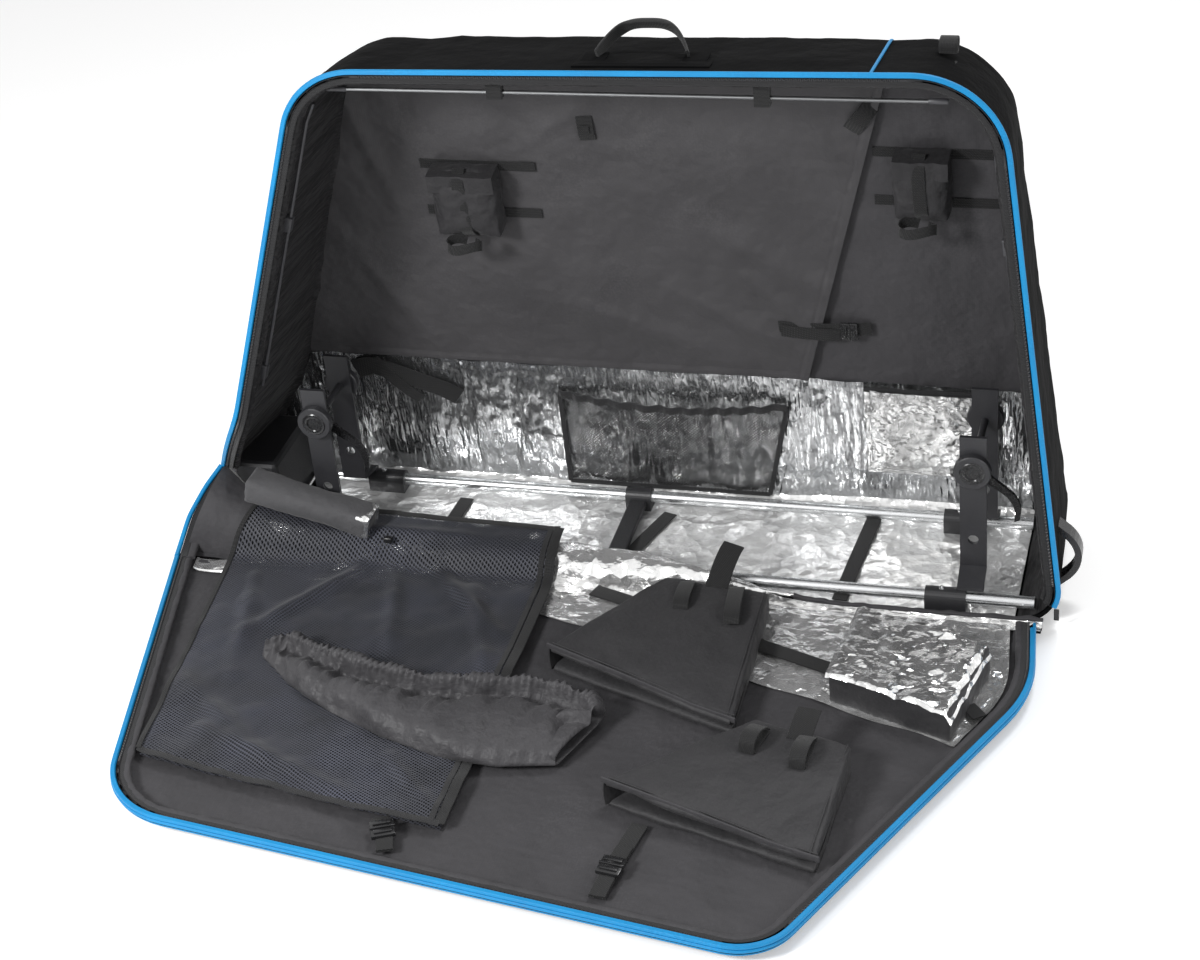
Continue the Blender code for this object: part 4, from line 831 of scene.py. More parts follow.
def wall_surface(first, last, lift, steps, floor=False, front=0.0):
    """Rows of a wall from the opening to the back, lift in from its outer face, and its directions."""
    arc = np.linspace(0, pi / 2, 7)[1:]
    rows, outs = [], []
    points, sides = BODY[first:last + 1], BODY_OUT[first:last + 1]
    for t in list(np.linspace(0, 1, steps)) + [None] * len(arc):
        k = len(rows) - steps
        row, out = [], []
        for p, n in zip(points, sides):
            start = (-FLOOR_LIP if floor else rim_front(p)) + front
            inset = back_inset(n)
            end = depth_at(p[1] - n[1] * (inset + BACK_RADIUS)) - BACK_RADIUS
            if t is not None:
                inward, y, a = inset * t + lift, start + (end - start) * t, 0.0
            else:
                a = arc[k]
                inward = inset + BACK_RADIUS - (BACK_RADIUS - lift) * cos(a)
                y = end + (BACK_RADIUS - lift) * sin(a)
            row.append((p[0] - n[0] * inward, y, p[1] - n[1] * inward))
            out.append((n[0] * cos(a), sin(a), n[1] * cos(a)))
        rows.append(row)
        outs.append(out)
    return np.array(rows), np.array(outs)


def nearest(test):
    """Index of the outline's first point that passes a test."""
    return int(np.argmax([test(p) for p in BODY]))


AT_LEFT_SEAM = nearest(lambda p: p[1] > 0.5 and p[0] > SEAM_LEFT)
AT_RIGHT_SEAM = nearest(lambda p: p[1] > 0.5 and p[0] > SEAM_RIGHT)
AT_FLOOR = nearest(lambda p: p[0] > 0 and p[1] < 0.0006)
AT_END = len(BODY) - 1


def bulged(rows, outs, amount):
    return rows + outs * amount.reshape(*rows.shape[:2], 1)


def make_outer_walls():
    """Padded outer panels, each bulging a little between its seams."""
    for name, first, last in (("left_wall", 0, AT_LEFT_SEAM), ("top_wall", AT_LEFT_SEAM, AT_RIGHT_SEAM),
                              ("right_wall", AT_RIGHT_SEAM, AT_FLOOR), ("floor_panel", AT_FLOOR, AT_END)):
        floor = name == "floor_panel"
        rows, outs = wall_surface(first, last, 0.0006, 20, floor)
        flat = rows.reshape(-1, 3)
        u, v = shares(rows)
        rounding = np.minimum(1, 14 * u * (1 - u)) * np.minimum(1, 5 * v * (1 - v) + 0.1)
        fine = rough(flat, 11, 3.0) * 0.0022 + rough(flat, 32, 7.0) * 0.0008
        amount = (0.0 if floor else 0.0035 + fine.reshape(u.shape)) * rounding
        obj = thicken(grid_piece(bulged(rows, outs, amount)), WALL - 0.0016)
        finish(obj, name + "_cover", "outer", "case", (name,), 60)


def inner_folds(rows):
    """Wrinkles of the lining along the walls: denser at the corners, pulled from front to back."""
    flat = rows.reshape(-1, 3)
    squeezed = flat * np.array([1.0, 0.28, 1.0])
    near = np.zeros(len(flat))
    for x, z in ((-0.36, 0.80), (0.52, 0.80), (0.64, 0.06), (-0.62, 0.25)):
        near += np.exp(-(np.hypot(flat[:, 0] - x, flat[:, 2] - z) / 0.13) ** 2)
    pleats = rough(squeezed, 46, 11.0, 2) * 0.0035 * np.clip(near, 0, 1)
    broad = rough(squeezed, 12, 5.0) * 0.0035
    return (pleats + broad).reshape(rows.shape[:2])


def make_wall_lining():
    """One run of lining up the left, over the top and down the right."""
    steps = 22
    rows, outs = wall_surface(0, AT_FLOOR, WALL + 0.0016, steps, front=0.004)
    v = np.concatenate([np.linspace(0, 1, steps), np.linspace(1, 0.7, rows.shape[0] - steps)])
    amount = np.minimum(inner_folds(rows), 0.0008) * np.minimum(1, 8 * v)[:, None]
    obj = thicken(grid_piece(bulged(rows, outs, amount), flip=True), 0.0010)
    # The side lining takes the darker copy of the lining cloth, which paints in the shade inside the walls.
    finish(obj, "wall_lining", "inner", "case", (), 60)


def rim_line(out, forward):
    """The edge of the opening in space, from the zip's left end round to its right end."""
    last = int(np.argmax((BODY[:, 0] > 0) & (BODY[:, 1] < 0.030)))
    fronts = np.array([rim_front(p) for p in BODY])
    y = fronts - forward * np.sqrt(1 + (np.gradient(fronts) / OUTLINE_STEP) ** 2)
    at = BODY + BODY_OUT * out
    return np.stack([at[:, 0], y, at[:, 1]], axis=1)[:last]


def piping_profile():
    """Two round cords side by side under one strip of cloth."""
    radius, gap, count, made = 0.0022, 0.0018, 20, []
    for k in range(count):
        c, s = cos(2 * pi * k / count), sin(2 * pi * k / count)
        pinch = 1.0 if abs(c) > 0.25 else 0.82
        made.append(((gap if c > 0 else -gap) + radius * c, radius * s * pinch * 1.35))
    return made


def make_teeth(line, across):
    """A row of small zip teeth along a line."""
    pitch, size = 0.0030, (0.0020, 0.0042, 0.0022)
    spots = even(np.concatenate([line, across], axis=1), pitch)
    tooth = box_piece(size, bevel=size[2] * 0.3, segments=1)
    places = []
    for k, (here, ahead) in enumerate(zip(spots, spots[1:])):
        place = axes(here[:3], Vector(ahead[:3]) - Vector(here[:3]), here[3:])
        places.append(place @ Matrix.Rotation(0.35 if k % 2 else -0.35, 4, "Z"))
    return copies(tooth, places)


def make_body_trim():
    """Piping, zip and padded edge round the opening."""
    line = rim_line(0, 0.0048)
    sides = as_space(BODY_OUT[:len(line)])
    finish(swept(line, sides, piping_profile()), "body_piping_cord", "piping", "case", ("body_piping",), 60)
    zip_along("body", rim_line(-0.0115, 0.0036), rim_line(-0.0072, 0.0050), sides, "case")
    roll_line = rim_line(-0.0155, -0.0085)
    pucker = rough(roll_line, 60, 4.0, 2) * 0.0016
    roll = swept(roll_line, sides, [oval(0.0150 + 2 * d, 0.0170 + d, 16, 2.4) for d in pucker])
    # The rim roll takes the same darker copy of the lining cloth, with its painted shade.
    finish(roll, "body_rim_roll", "inner", "case", (), 60)


# ---------- back wall, divider and what is on them ----------

def inside_outline(inward):
    """The body's outline drawn in, as for a sheet on the back wall."""
    return np.array([p - n * (inward + back_inset(n)) for p, n in zip(BODY, BODY_OUT)])


def split_outline(path):
    """Left, top, right and bottom stretches of a drawn-in outline, parted at the corners."""
    a = int(np.argmin(path[:, 0] * 0.7 - path[:, 1]))
    b = int(np.argmax(path[:, 0] * 0.7 + path[:, 1]))
    c = int(np.argmax(path[:, 0] - path[:, 1]))
    return np.vstack([path[-1:], path[:a + 1]]), path[a:b + 1], path[b:c + 1][::-1], path[c:][::-1]


WALL_OUT = Vector((0, -1, -LEAN)).normalized()
PAD_FACE = WALL + 0.0455
# Soft folds as (x, z, x, z, width, height)
DIVIDER_FOLDS = [
    (0.18, 0.45, 0.33, 0.30, 0.012, 0.0075), (0.06, 0.42, 0.30, 0.285, 0.016, 0.0055),
    (0.10, 0.55, 0.345, 0.40, 0.020, 0.0050), (-0.44, 0.79, -0.36, 0.54, 0.016, 0.0050),
    (0.02, 0.79, 0.10, 0.50, 0.03, 0.0035), (-0.47, 0.50, -0.34, 0.28, 0.018, 0.0055),
    (0.28, 0.76, 0.35, 0.60, 0.014, 0.0050), (-0.10, 0.38, 0.16, 0.29, 0.022, 0.0045),
    (-0.30, 0.45, 0.0, 0.34, 0.03, 0.0035), (-0.16, 0.66, -0.02, 0.76, 0.014, 0.0036)]


def divider_edge(z):
    """Where the divider's slanted free edge is at a height."""
    return 0.196 + (z - 0.010) * 0.199 / 0.750


def back_rows(inward, nu, nv):
    """Rows of (x, z) over the back wall, drawn in on all sides."""
    left, top, right, low = split_outline(inside_outline(inward))
    return between(low, top, left, right, nu, nv)


def lean_sheet(rows, off, lift, thickness):
    """A sheet on the back wall from (x, z) rows; lift is each point's height above it."""
    x, z = rows.reshape(-1, 2).T
    scale = (off + lift) / sqrt(1 + LEAN ** 2)
    places = np.stack([x, FLOOR_DEPTH - LEAN * z - scale, z - LEAN * scale], axis=1)
    return thicken(grid_piece(places.reshape(*rows.shape[:2], 3)), thickness)


def stretched(obj, name, material, stands=(), angle=70):
    """Finish a sheet stretched over the back wall."""
    finish(obj, name, material, "case", stands, angle)


def make_back():
    """Outer back panel, and its lining."""
    inward = BACK_RADIUS + 0.006
    rows = back_rows(inward, 130, 80)
    flat = rows.reshape(-1, 2)
    swell = rough(as_space(flat), 7, 2.0) * 0.002 + rough(as_space(flat), 24, 9.0) * 0.0007
    edge = np.clip(edge_gap(flat, inside_outline(inward)) / 0.05, 0, 1)
    depth = FLOOR_DEPTH - LEAN * flat[:, 1] + swell * edge + 0.001 * edge
    places = np.stack([flat[:, 0], depth, flat[:, 1]], axis=1).reshape(*rows.shape[:2], 3)
    outer = thicken(grid_piece(places, flip=True), WALL - 0.0012)
    finish(outer, "back_panel_cover", "outer", "case", ("back_panel",), 60)

    rows = back_rows(0.014, 150, 90)
    flat = rows.reshape(-1, 2)
    lift = rough(as_space(flat), 8, 4.0) * 0.0008
    lift += ridges(flat, [(0.42, 0.75, 0.53, 0.50, 0.016, 0.0008), (0.40, 0.45, 0.60, 0.40, 0.02, 0.0008)])
    lining = lean_sheet(rows, WALL + 0.0009, np.clip(lift, -0.0007, 0.0004), 0.0006)
    finish(lining, "back_lining", "lining", "case", (), 60)


def foil_lift(flat, strength):
    """Upright creases and crumpling of the foil on the back wall."""
    space = as_space(flat)
    upright = rough(space * np.array([1, 1, 0.22]), 20, 1.7, 2)
    crushed = np.abs(rough(space, 26, 6.0, 2))
    broad = rough(space, 6, 8.0, 2)
    hanging = np.sin(flat[:, 0] * 62 + 3.0 * broad) * 0.0011
    return strength * (0.0026 * upright + 0.0013 * crushed + 0.0034 * broad + hanging)


def make_wall_foil():
    """Foil on the lower back wall: the right part under the pocket and the divider's lower part."""
    left, _, right, low = split_outline(inside_outline(0.016))
    hem = 0.257
    side = clip_path(right, lambda p: p[1] < hem)
    start, end = divider_edge(0.02) - 0.012, divider_edge(hem) - 0.012
    bottom = clip_path(low, lambda p: p[0] > start)
    foot, head = (start, bottom[0][1]), (end, hem)
    rows = between(np.vstack([[foot], bottom]), [head, (side[-1][0], hem)], [foot, head], side, 150, 84)
    lift = np.clip(foil_lift(rows.reshape(-1, 2), 1.0), -0.0002, 0.006)
    foil = lean_sheet(rows, WALL + 0.0022, lift, FOIL_THICK)
    stretched(foil, "back_foil_sheet", "shaded_wall_foil", ("back_foil",))

    side = clip_path(left, lambda p: p[1] < hem)
    bottom = clip_path(low, lambda p: p[0] < divider_edge(0.02))
    foot, head = (divider_edge(bottom[-1][1]), bottom[-1][1]), (divider_edge(hem), hem)
    rows = between(np.vstack([bottom, [foot]]), [(side[-1][0], hem), head], side, [foot, head], 320, 96)
    lift = np.clip(foil_lift(rows.reshape(-1, 2), 1.15) + 0.001, 0.0, 0.008)
    stretched(lean_sheet(rows, WALL + 0.0046, lift, 0.0008), "divider_foil", "shaded_wall_foil")


def make_divider():
    """The lining sheet across the left and middle, its slanted free edge hemmed."""
    left, top, _, _ = split_outline(inside_outline(0.013))
    hem = 0.2585
    side = clip_path(left, lambda p: p[1] > hem)
    foot = (side[0][0], hem)
    roof = clip_path(top, lambda p: p[0] < divider_edge(p[1]))
    corner = (divider_edge(roof[-1][1]), roof[-1][1])
    slant = [(divider_edge(hem), hem), corner]
    roof, side = np.vstack([roof, [corner]]), np.vstack([[foot], side])
    rows = between([foot, slant[0]], roof, side, slant, 300, 150)
    flat = rows.reshape(-1, 2)
    lift = 0.0020 + rough(as_space(flat), 5, 3.0) * 0.0020 + ridges(flat, DIVIDER_FOLDS)
    lift *= 1.1
    from_edge, low_edge = divider_edge(flat[:, 1]) - flat[:, 0], flat[:, 1] - hem
    lift += 0.0014 * (from_edge < 0.012) - 0.0012 * np.exp(-((from_edge - 0.0135) / 0.0022) ** 2)
    lift += 0.0030 * np.exp(-(from_edge / 0.03) ** 2) * (0.6 + 0.6 * rough(as_space(flat), 9, 12.0, 2))
    lift += 0.0012 * (low_edge < 0.010) - 0.0010 * np.exp(-((low_edge - 0.0115) / 0.002) ** 2)
    obj = lean_sheet(rows, WALL + 0.0056, np.clip(lift, 0.0, 0.010), 0.0016)
    stretched(obj, "divider_cloth", "divider", ("divider_panel",), 60)


def wall_strap(name, stations, width, off, thickness, material="webbing"):
    """Webbing flat on the back wall: stations are (x, z, how far it stands off there)."""
    places = [on_back(x, z, off + up) for x, z, up in stations]
    across = (Vector(places[-1]) - Vector(places[0])).cross(WALL_OUT).normalized()
    return finish(strap(places, across, width, thickness, up=WALL_OUT), name, material)


def buckle(name, place, width, length, thick, body="case"):
    """A ladder buckle: a flat frame with raised ends and a bar. X is along the strap."""
    end = (length * 0.2, width * 0.98, thick * 0.7)
    blocks = [((length, width * 1.30, thick), 0, thick / 2, min(0.0014, thick * 0.3)),
              (end, -0.26 * length, thick * 1.05, 0.0008), (end, 0.26 * length, thick * 1.05, 0.0008),
              ((length * 0.12, width * 1.34, thick * 0.9), 0, thick * 0.95, 0.0010)]
    parts = [box_piece(size, place @ Matrix.Translation((x, 0, z)), bevel) for size, x, z, bevel in blocks]
    return finish(merged(parts), name, "gloss", body, (), 35)


def make_pad(name, node, hook_x, hook_z, off, seed):
    """A padded block with its flap, its strap and the hook bars behind it."""
    obj = puff(soft_copy(node, 0.004, 3, 0.0012), 5.0, 0.007)
    co = shape_of(obj)
    push(obj, rough(co, 60, seed, 3) * 0.0012 + rough(co, 24, seed, 2) * 0.0015)
    subdivide(obj)
    finish(obj, name + "_cushion", "pouch", "case", (node,), 70)
    low, high = box_of(node)
    x, half = (low.x + high.x) / 2, (high.x - low.x) / 2
    face = PAD_FACE + (0.005 if node == "pad_left" else 0.0)
    (start, end), wide = hook_x, 0.008
    for k, z in enumerate(hook_z):
        rows = quad((start, z - wide), (end, z - wide), (start, z + wide), (end, z + wide), 60, 8)
        lift = rough(as_space(rows.reshape(-1, 2)), 300, seed + k) * 0.0004
        finish(lean_sheet(rows, off + 0.0016, lift, 0.0014), f"{name}_hook_bar_{k + 1}", "webbing")
    top, foot = high.z - 0.004, low.z + 0.018
    stations = [(x - 0.003, top + 0.010, -0.014), (x - 0.003, top, 0.003),
                (x - 0.002, (top + foot) / 2, 0.0045), (x, foot + 0.006, 0.0035),
                (x + 0.002, foot - 0.006, -0.004), (x + 0.004, foot - 0.016, -0.018)]
    wall_strap(name + "_strap", stations, 0.020, face, 0.0018)
    ring = []
    for a in np.linspace(pi, pi + 2 * pi * 0.92, 25):
        ring.append(on_back(x - 0.004 + 0.027 * sin(a), low.z + 0.004 + 0.004 * sin(a * 2),
                            face + 0.012 + 0.014 * cos(a)))
    finish(strap(ring, (0, 0.1, 1), 0.016, 0.0018, 0.003, ease=1), name + "_loop", "webbing")
    rows = []
    for v in np.linspace(0, 1, 16):
        drop, back = 0.030 * max(0.0, v - 0.45) / 0.55, 0.040 * max(0.0, 0.45 - v) / 0.45
        row = []
        for u in np.linspace(0, 1, 30):
            wave = 0.0012 * sin(9 * u + seed) + 0.0008 * sin(23 * u)
            row.append(on_back(x + half * 0.98 * (2 * u - 1), top + 0.0055 - drop + 0.001 * wave,
                               face + 0.0026 - back + wave))
        rows.append(row)
    finish(thicken(grid_piece(rows, flip=True), 0.0016), name + "_flap", "pouch", "case", (), 60)


def make_wall_straps():
    """Divider strap with its buckle, the small tabs at the top and the belt by the left stand."""
    off = WALL + 0.0078
    wall_strap("divider_strap", [(0.222, 0.357, 0.001), (0.25, 0.358, 0.004), (0.29, 0.360, 0.007),
                                 (0.33, 0.362, 0.006), (0.366, 0.363, 0.001)], 0.024, off, 0.0022)
    wall_strap("divider_strap_tail", [(0.226, 0.353, 0.001), (0.26, 0.353, 0.005), (0.30, 0.354, 0.008),
                                      (0.318, 0.352, 0.004)], 0.022, off + 0.0030, 0.0020)
    turn = axes(on_back(0.333, 0.361, off + 0.006), (1, 0, 0.04), (0, -LEAN, 1))
    buckle("divider_buckle", turn, 0.024, 0.026, 0.004)
    wall_strap("top_hook_tab", [(-0.047, 0.722, 0.0005), (-0.046, 0.705, 0.003), (-0.045, 0.690, 0.003),
                                (-0.044, 0.682, 0.001)], 0.026, off, 0.0022)
    bar = [(-0.052, 0.702, 0.001), (-0.040, 0.702, 0.001)]
    wall_strap("top_hook_tab_bar", bar, 0.012, off + 0.0045, 0.0018)
    wall_strap("top_strap_tab", [(0.352, 0.712, 0.003), (0.362, 0.728, 0.010), (0.374, 0.744, 0.012),
                                 (0.386, 0.757, 0.002)], 0.026, WALL + 0.0060, 0.0024)
    belt = [(-0.500, 0.226, 0.001), (-0.470, 0.240, 0.006), (-0.430, 0.232, 0.009),
            (-0.385, 0.214, 0.008), (-0.350, 0.200, 0.006), (-0.326, 0.182, 0.002)]
    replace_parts(wall_strap("left_wall_belt", belt, 0.034, WALL + 0.0075, 0.0030), "left_belt")
    wall_strap("left_wall_belt_cross", [(-0.462, 0.252, 0.001), (-0.44, 0.226, 0.006), (-0.41, 0.196, 0.006),
                                        (-0.392, 0.176, 0.001)], 0.022, WALL + 0.0125, 0.0022)


def make_mesh_pocket():
    """Net pocket with a bound edge and a gathered elastic top."""
    rows = quad((-0.154, 0.022), (0.185, 0.022), (-0.150, 0.206), (0.226, 0.206), 150, 70)
    u, v = shares(rows)
    belly = 0.016 * np.sin(pi * u) ** 0.7 * (0.25 + 0.75 * v) * np.minimum(1, 6 * v)
    wave = 0.0030 * np.sin(u * 70 + 2 * np.sin(u * 9)) * v ** 4
    rows[..., 1] -= 0.010 * np.sin(pi * u) * v ** 3
    loose = rough(as_space(rows.reshape(-1, 2)), 20, 3.0) * 0.002 * (belly.reshape(-1) > 0.002)
    obj = lean_sheet(rows, WALL + 0.0125, np.clip((belly + wave).reshape(-1) + loose, 0, 0.03), 0.0007)
    stretched(obj, "mesh_pocket_net", "pocket_net", ("mesh_pocket",))
    for name, line, lifts, width, thickness in (
            ("elastic", rows[-1], belly[-1] + wave[-1], 0.013, 0.0040),
            ("edge_left", rows[:, 0], belly[:, 0], 0.008, 0.0022),
            ("edge_right", rows[:, -1], belly[:, -1], 0.008, 0.0022),
            ("edge_low", rows[0], belly[0], 0.008, 0.0022)):
        places = [on_back(x, z, WALL + 0.0128 + up) for (x, z), up in zip(line, lifts)]
        across = Vector(places[-1] - places[0]).cross(WALL_OUT).normalized()
        piece = swept(smooth(even(places, 0.003), 1), across, oval(width, thickness, 12, 4), WALL_OUT)
        finish(piece, "mesh_pocket_" + name, "elastic")


def make_foil_pocket():
    """Stitched foil pocket at the right with its dark top edge."""
    x0, x1, z0, z1 = 0.349, 0.557, 0.083, 0.250
    rows = quad((x0, z0), (x1, z0), (x0, z1), (x1, z1), 110, 90)
    u, v = shares(rows)
    edge = np.minimum(np.minimum(u, 1 - u) * (x1 - x0), v * (z1 - z0)).reshape(-1)
    belly = 0.010 * np.clip(edge / 0.03, 0, 1) * (0.6 + 0.4 * v.reshape(-1))
    seam = -0.0022 * np.exp(-((edge - 0.007) / 0.0016) ** 2)
    crushed = np.abs(rough(as_space(rows.reshape(-1, 2)), 38, 2.5, 3)) * np.clip(edge / 0.01, 0, 1)
    obj = lean_sheet(rows, WALL + 0.0085, 0.002 + belly + seam + 0.0028 * crushed, 0.0010)
    stretched(obj, "foil_pocket_front", "box_foil", ("foil_pocket",))
    stations = [(x, z1 + 0.001 + 0.0015 * sin(30 * x), 0.0125 + 0.004 * sin(pi * k / 39))
                for k, x in enumerate(np.linspace(x0, x1, 40))]
    wall_strap("foil_pocket_top_binding", stations, 0.009, WALL, 0.0034, "elastic")


# ---------- floor, rails and stands ----------

def make_floor_sheets():
    """Crumpled foil on the base, kept low under the rails and clamps, and three straps across it."""
    deep = np.concatenate([np.linspace(0.004, 0.258, 84), np.linspace(0.2605, 0.2815, 12)])
    rows = np.array([[(x, y, 0) for x in np.linspace(-0.590, 0.612, 300)] for y in deep])
    flat = rows.reshape(-1, 3)
    crushed = 0.0040 * np.abs(rough(flat, 13, 2.0, 2)) + 0.0014 * np.abs(rough(flat, 44, 5.0, 2))
    y, turn = flat[:, 1], 0.026
    free = np.clip(np.minimum(y - 0.034, 0.206 - y) / 0.02, 0.0, 1)
    rise = turn - np.sqrt(np.maximum(0.0, turn ** 2 - np.maximum(0, y - 0.2565) ** 2))
    flat[:, 2] = WALL + 0.0012 + crushed * (0.12 + 0.88 * free) + rise
    obj = thicken(grid_piece(rows), FOIL_THICK)
    finish(obj, "floor_foil_sheet", "floor_foil", "case", ("floor_foil",), 70)
    for k, (a, b) in enumerate((((0.362, 0.236), (0.345, 0.006)), ((0.032, 0.205), (-0.013, 0.060)),
                                ((-0.318, 0.205), (-0.325, 0.070)))):
        places = [(a[0] + (b[0] - a[0]) * t, a[1] + (b[1] - a[1]) * t,
                   WALL + 0.0052 + 0.0016 * sin(pi * t)) for t in np.linspace(0, 1, 14)]
        lay(f"floor_strap_{k + 1}", places, (1, 0, 0), 0.024, 0.0016)


def set_material(nodes, material):
    """Give solids that stay in sight their material."""
    for node in nodes.split():
        data = NODES[node].data
        if not data.materials:
            data.materials.append(MATERIALS[material])
        for k in range(len(data.materials)):
            data.materials[k] = MATERIALS[material]


NODE_FINISHES = {
    "aluminium": "front_rail rear_rail wheel_axle", "graphite": "top_rod",
    "plastic": "cross_bar left_clamp_front left_clamp_rear right_clamp_front right_clamp_rear wheel_housing",
    "gloss": "left_lever right_lever end_handle pull_left pull_right",
    "paint": "left_post_front left_post_rear right_post_front right_post_rear left_axle right_axle",
    "rubber": "wheel_front wheel_rear", "rod": "left_rod right_rod",
    "webbing": "rod_loop_left rod_loop_right top_handle strap_roll",
}


# ---------- lid ----------

LID_LEFT_CORNER = int(np.argmin(LID[:, 0] + LID[:, 1]))
LID_RIGHT_CORNER = int(np.argmax(LID[:, 0] - LID[:, 1]))


def lid_patch(inward, nu, nv):
    """Rows of (x, y) over the lid, drawn in on its three free sides."""
    path = LID + LID_IN * inward
    path[0, 1] = path[-1, 1] = LID_REAR
    left, front = path[:LID_LEFT_CORNER + 1][::-1], path[LID_LEFT_CORNER:LID_RIGHT_CORNER + 1]
    return between(front, [path[0], path[-1]], left, path[LID_RIGHT_CORNER:], nu, nv)


def lid_height(flat):
    """Top of the lid's lining, which rises to its padded border."""
    return LID_FLOOR + 0.0115 * eased((0.044 - edge_gap(flat, LID)) / 0.030)


def over_lid(line, rise):
    """Places above the lid's lining from (x, y)."""
    return [(x, y, float(lid_height(np.array([[x, y]]))[0]) + rise) for x, y in line]


# Soft folds as (x, y, x, y, width, height)
LID_FOLDS = [
    (-0.089, -0.612, 0.135, -0.643, 0.0022, -0.0016), (0.135, -0.643, 0.407, -0.679, 0.0022, -0.0016),
    (-0.50, -0.52, -0.089, -0.612, 0.0022, -0.0014), (-0.60, -0.30, -0.54, -0.47, 0.012, 0.0020),
    (0.30, -0.40, 0.50, -0.46, 0.018, 0.0022), (0.44, -0.36, 0.56, -0.40, 0.014, 0.0024),
    (-0.02, -0.40, 0.08, -0.54, 0.022, 0.0016), (0.20, -0.66, 0.36, -0.72, 0.016, 0.0018),
    (-0.34, -0.57, -0.20, -0.64, 0.014, 0.0016), (0.46, -0.50, 0.52, -0.58, 0.014, 0.0020),
    (-0.66, -0.12, -0.62, -0.30, 0.012, 0.0018)]


def make_lid():
    """Outer panel, padded lining, piping, zip and rolled border of the lid."""
    rows = lid_patch(0.0012, 150, 90)
    gap = edge_gap(rows.reshape(-1, 2), LID)
    outer = raised(rows, 0.0006 + 0.0200 * (1 - np.clip(gap / 0.034, 0, 1)) ** 1.5, flip=True)
    finish(thicken(outer, 0.0050), "lid_outer_panel", "outer", "lid", ("lid_shell",), 60)

    rows = lid_patch(0.0150, 260, 150)
    flat = rows.reshape(-1, 2)
    space, gap = at_height(flat), edge_gap(flat, LID)
    inner = np.clip((gap - 0.02) / 0.04, 0, 1)
    z = lid_height(flat) + ridges(flat, LID_FOLDS)
    z += (np.maximum(rough(space, 6, 3.0, 2) * 0.0040, -0.0008) + rough(space, 18, 8.0) * 0.0010) * inner
    z += rough(space, 75, 5.0, 2) * 0.0010 * np.exp(-((gap - 0.035) / 0.012) ** 2)
    lining = thicken(raised(rows, z), 0.0045)
    finish(lining, "lid_lining_pad", "lining", "lid", ("lid_lining",), 60)

    sides = at_height(LID_IN)
    line = at_height(LID + LID_IN * 0.0045, 0.0292)
    ahead = line[:, 1] < LID_REAR - 0.012
    piping = swept(line[ahead], sides[ahead], piping_profile(), UP)
    finish(piping, "lid_piping_cord", "piping", "lid", ("lid_piping",), 60)
    for k, low in enumerate((0.0232, 0.0168)):
        under = at_height(LID + LID_IN * (0.0022 + 0.0022 * k), low)
        edge = swept(under, sides, oval(0.0050, 0.0056 - 0.0020 * k, 10, 2), UP)
        finish(edge, f"lid_side_piping_{k + 1}", "piping", "lid", (), 60)
    zip_along("lid", at_height(LID + LID_IN * 0.0160, 0.0262), at_height(LID + LID_IN * 0.0112, 0.0278),
              sides, "lid", UP)
    pucker = rough(at_height(LID), 65, 6.0, 2)
    roll_line = np.column_stack([LID + LID_IN * 0.0245, 0.0240 + 0.0007 * pucker])
    profiles = [oval(0.0105 + 0.0022 * d, 0.0080 + 0.0016 * d, 16, 2.2) for d in pucker]
    roll = swept(roll_line, sides, profiles, UP)
    finish(roll, "lid_rim_roll", "lining", "lid", (), 60)


def make_lid_foil():
    """Crumpled foil along the lid's rear, with the hook strip across it."""
    rear = LID_REAR - 0.001
    right = clip_path(LID + LID_IN * 0.038, lambda p: p[0] > 0.3 and -0.322 < p[1] < rear)
    right = np.vstack([right, [(right[-1][0], rear)]])
    left = [(-0.700, -0.062), (-0.706, rear)]
    front = [left[0], (-0.300, -0.066), (-0.022, -0.1195), (0.2554, -0.2168), (0.4761, -0.2913), right[0]]
    rows = between(front, [left[1], right[-1]], left, right, 300, 84)
    v = shares(rows)[1].reshape(-1)
    flat = rows.reshape(-1, 2)
    flat[:, 1] += 0.003 * np.sin(flat[:, 0] * 40) * (1 - v)
    space = at_height(flat)
    crushed = 0.0050 * np.abs(rough(space, 11, 4.0, 2)) + 0.0014 * np.abs(rough(space, 40, 9.0, 2))
    z = lid_height(flat) + 0.0034 + crushed * np.clip(v * 12, 0.25, 1)
    obj = thicken(raised(rows, z), FOIL_THICK)
    finish(obj, "lid_foil_sheet", "foil", "lid", ("lid_foil",), 70)
    line = [(-0.034, -0.034), (0.06, -0.066), (0.16, -0.102), (0.26, -0.140), (0.380, -0.184)]
    lay("lid_hook_strip", over_lid(line, 0.0088), (0.3, 1, 0), 0.029, 0.0016, "lid")
    line = [(0.574, -0.238), (0.594, -0.264)]
    lay("lid_hook_square", over_lid(line, 0.0115), (0.8, 0.6, 0), 0.022, 0.0016, "lid")


# ---------- fold between the body and the lid ----------

FOLD = np.array([
    (0.655, -0.006, 0.0135), (0.500, -0.008, 0.0135), (0.340, -0.008, 0.0150), (0.230, -0.006, 0.0260),
    (0.170, -0.002, 0.0400), (0.110, 0.010, 0.0480), (0.040, 0.026, 0.0500), (-0.060, 0.034, 0.0520),
    (-0.180, 0.037, 0.0540), (-0.320, 0.037, 0.0560), (-0.460, 0.036, 0.0620), (-0.560, 0.037, 0.0720),
    (-0.604, 0.046, 0.0820), (-0.638, 0.060, 0.0950), (-0.672, 0.080, 0.1120),
    (-0.687, 0.089, 0.1190)])
FOLD_FINE = smooth(even(FOLD, 0.006), 6)


def corner_share(x):
    """How far a place is into the fold's left corner: 0 at the knee, 1 at the zip's end."""
    return max(0.0, (KNEE_X - x) / CORNER_RUN)


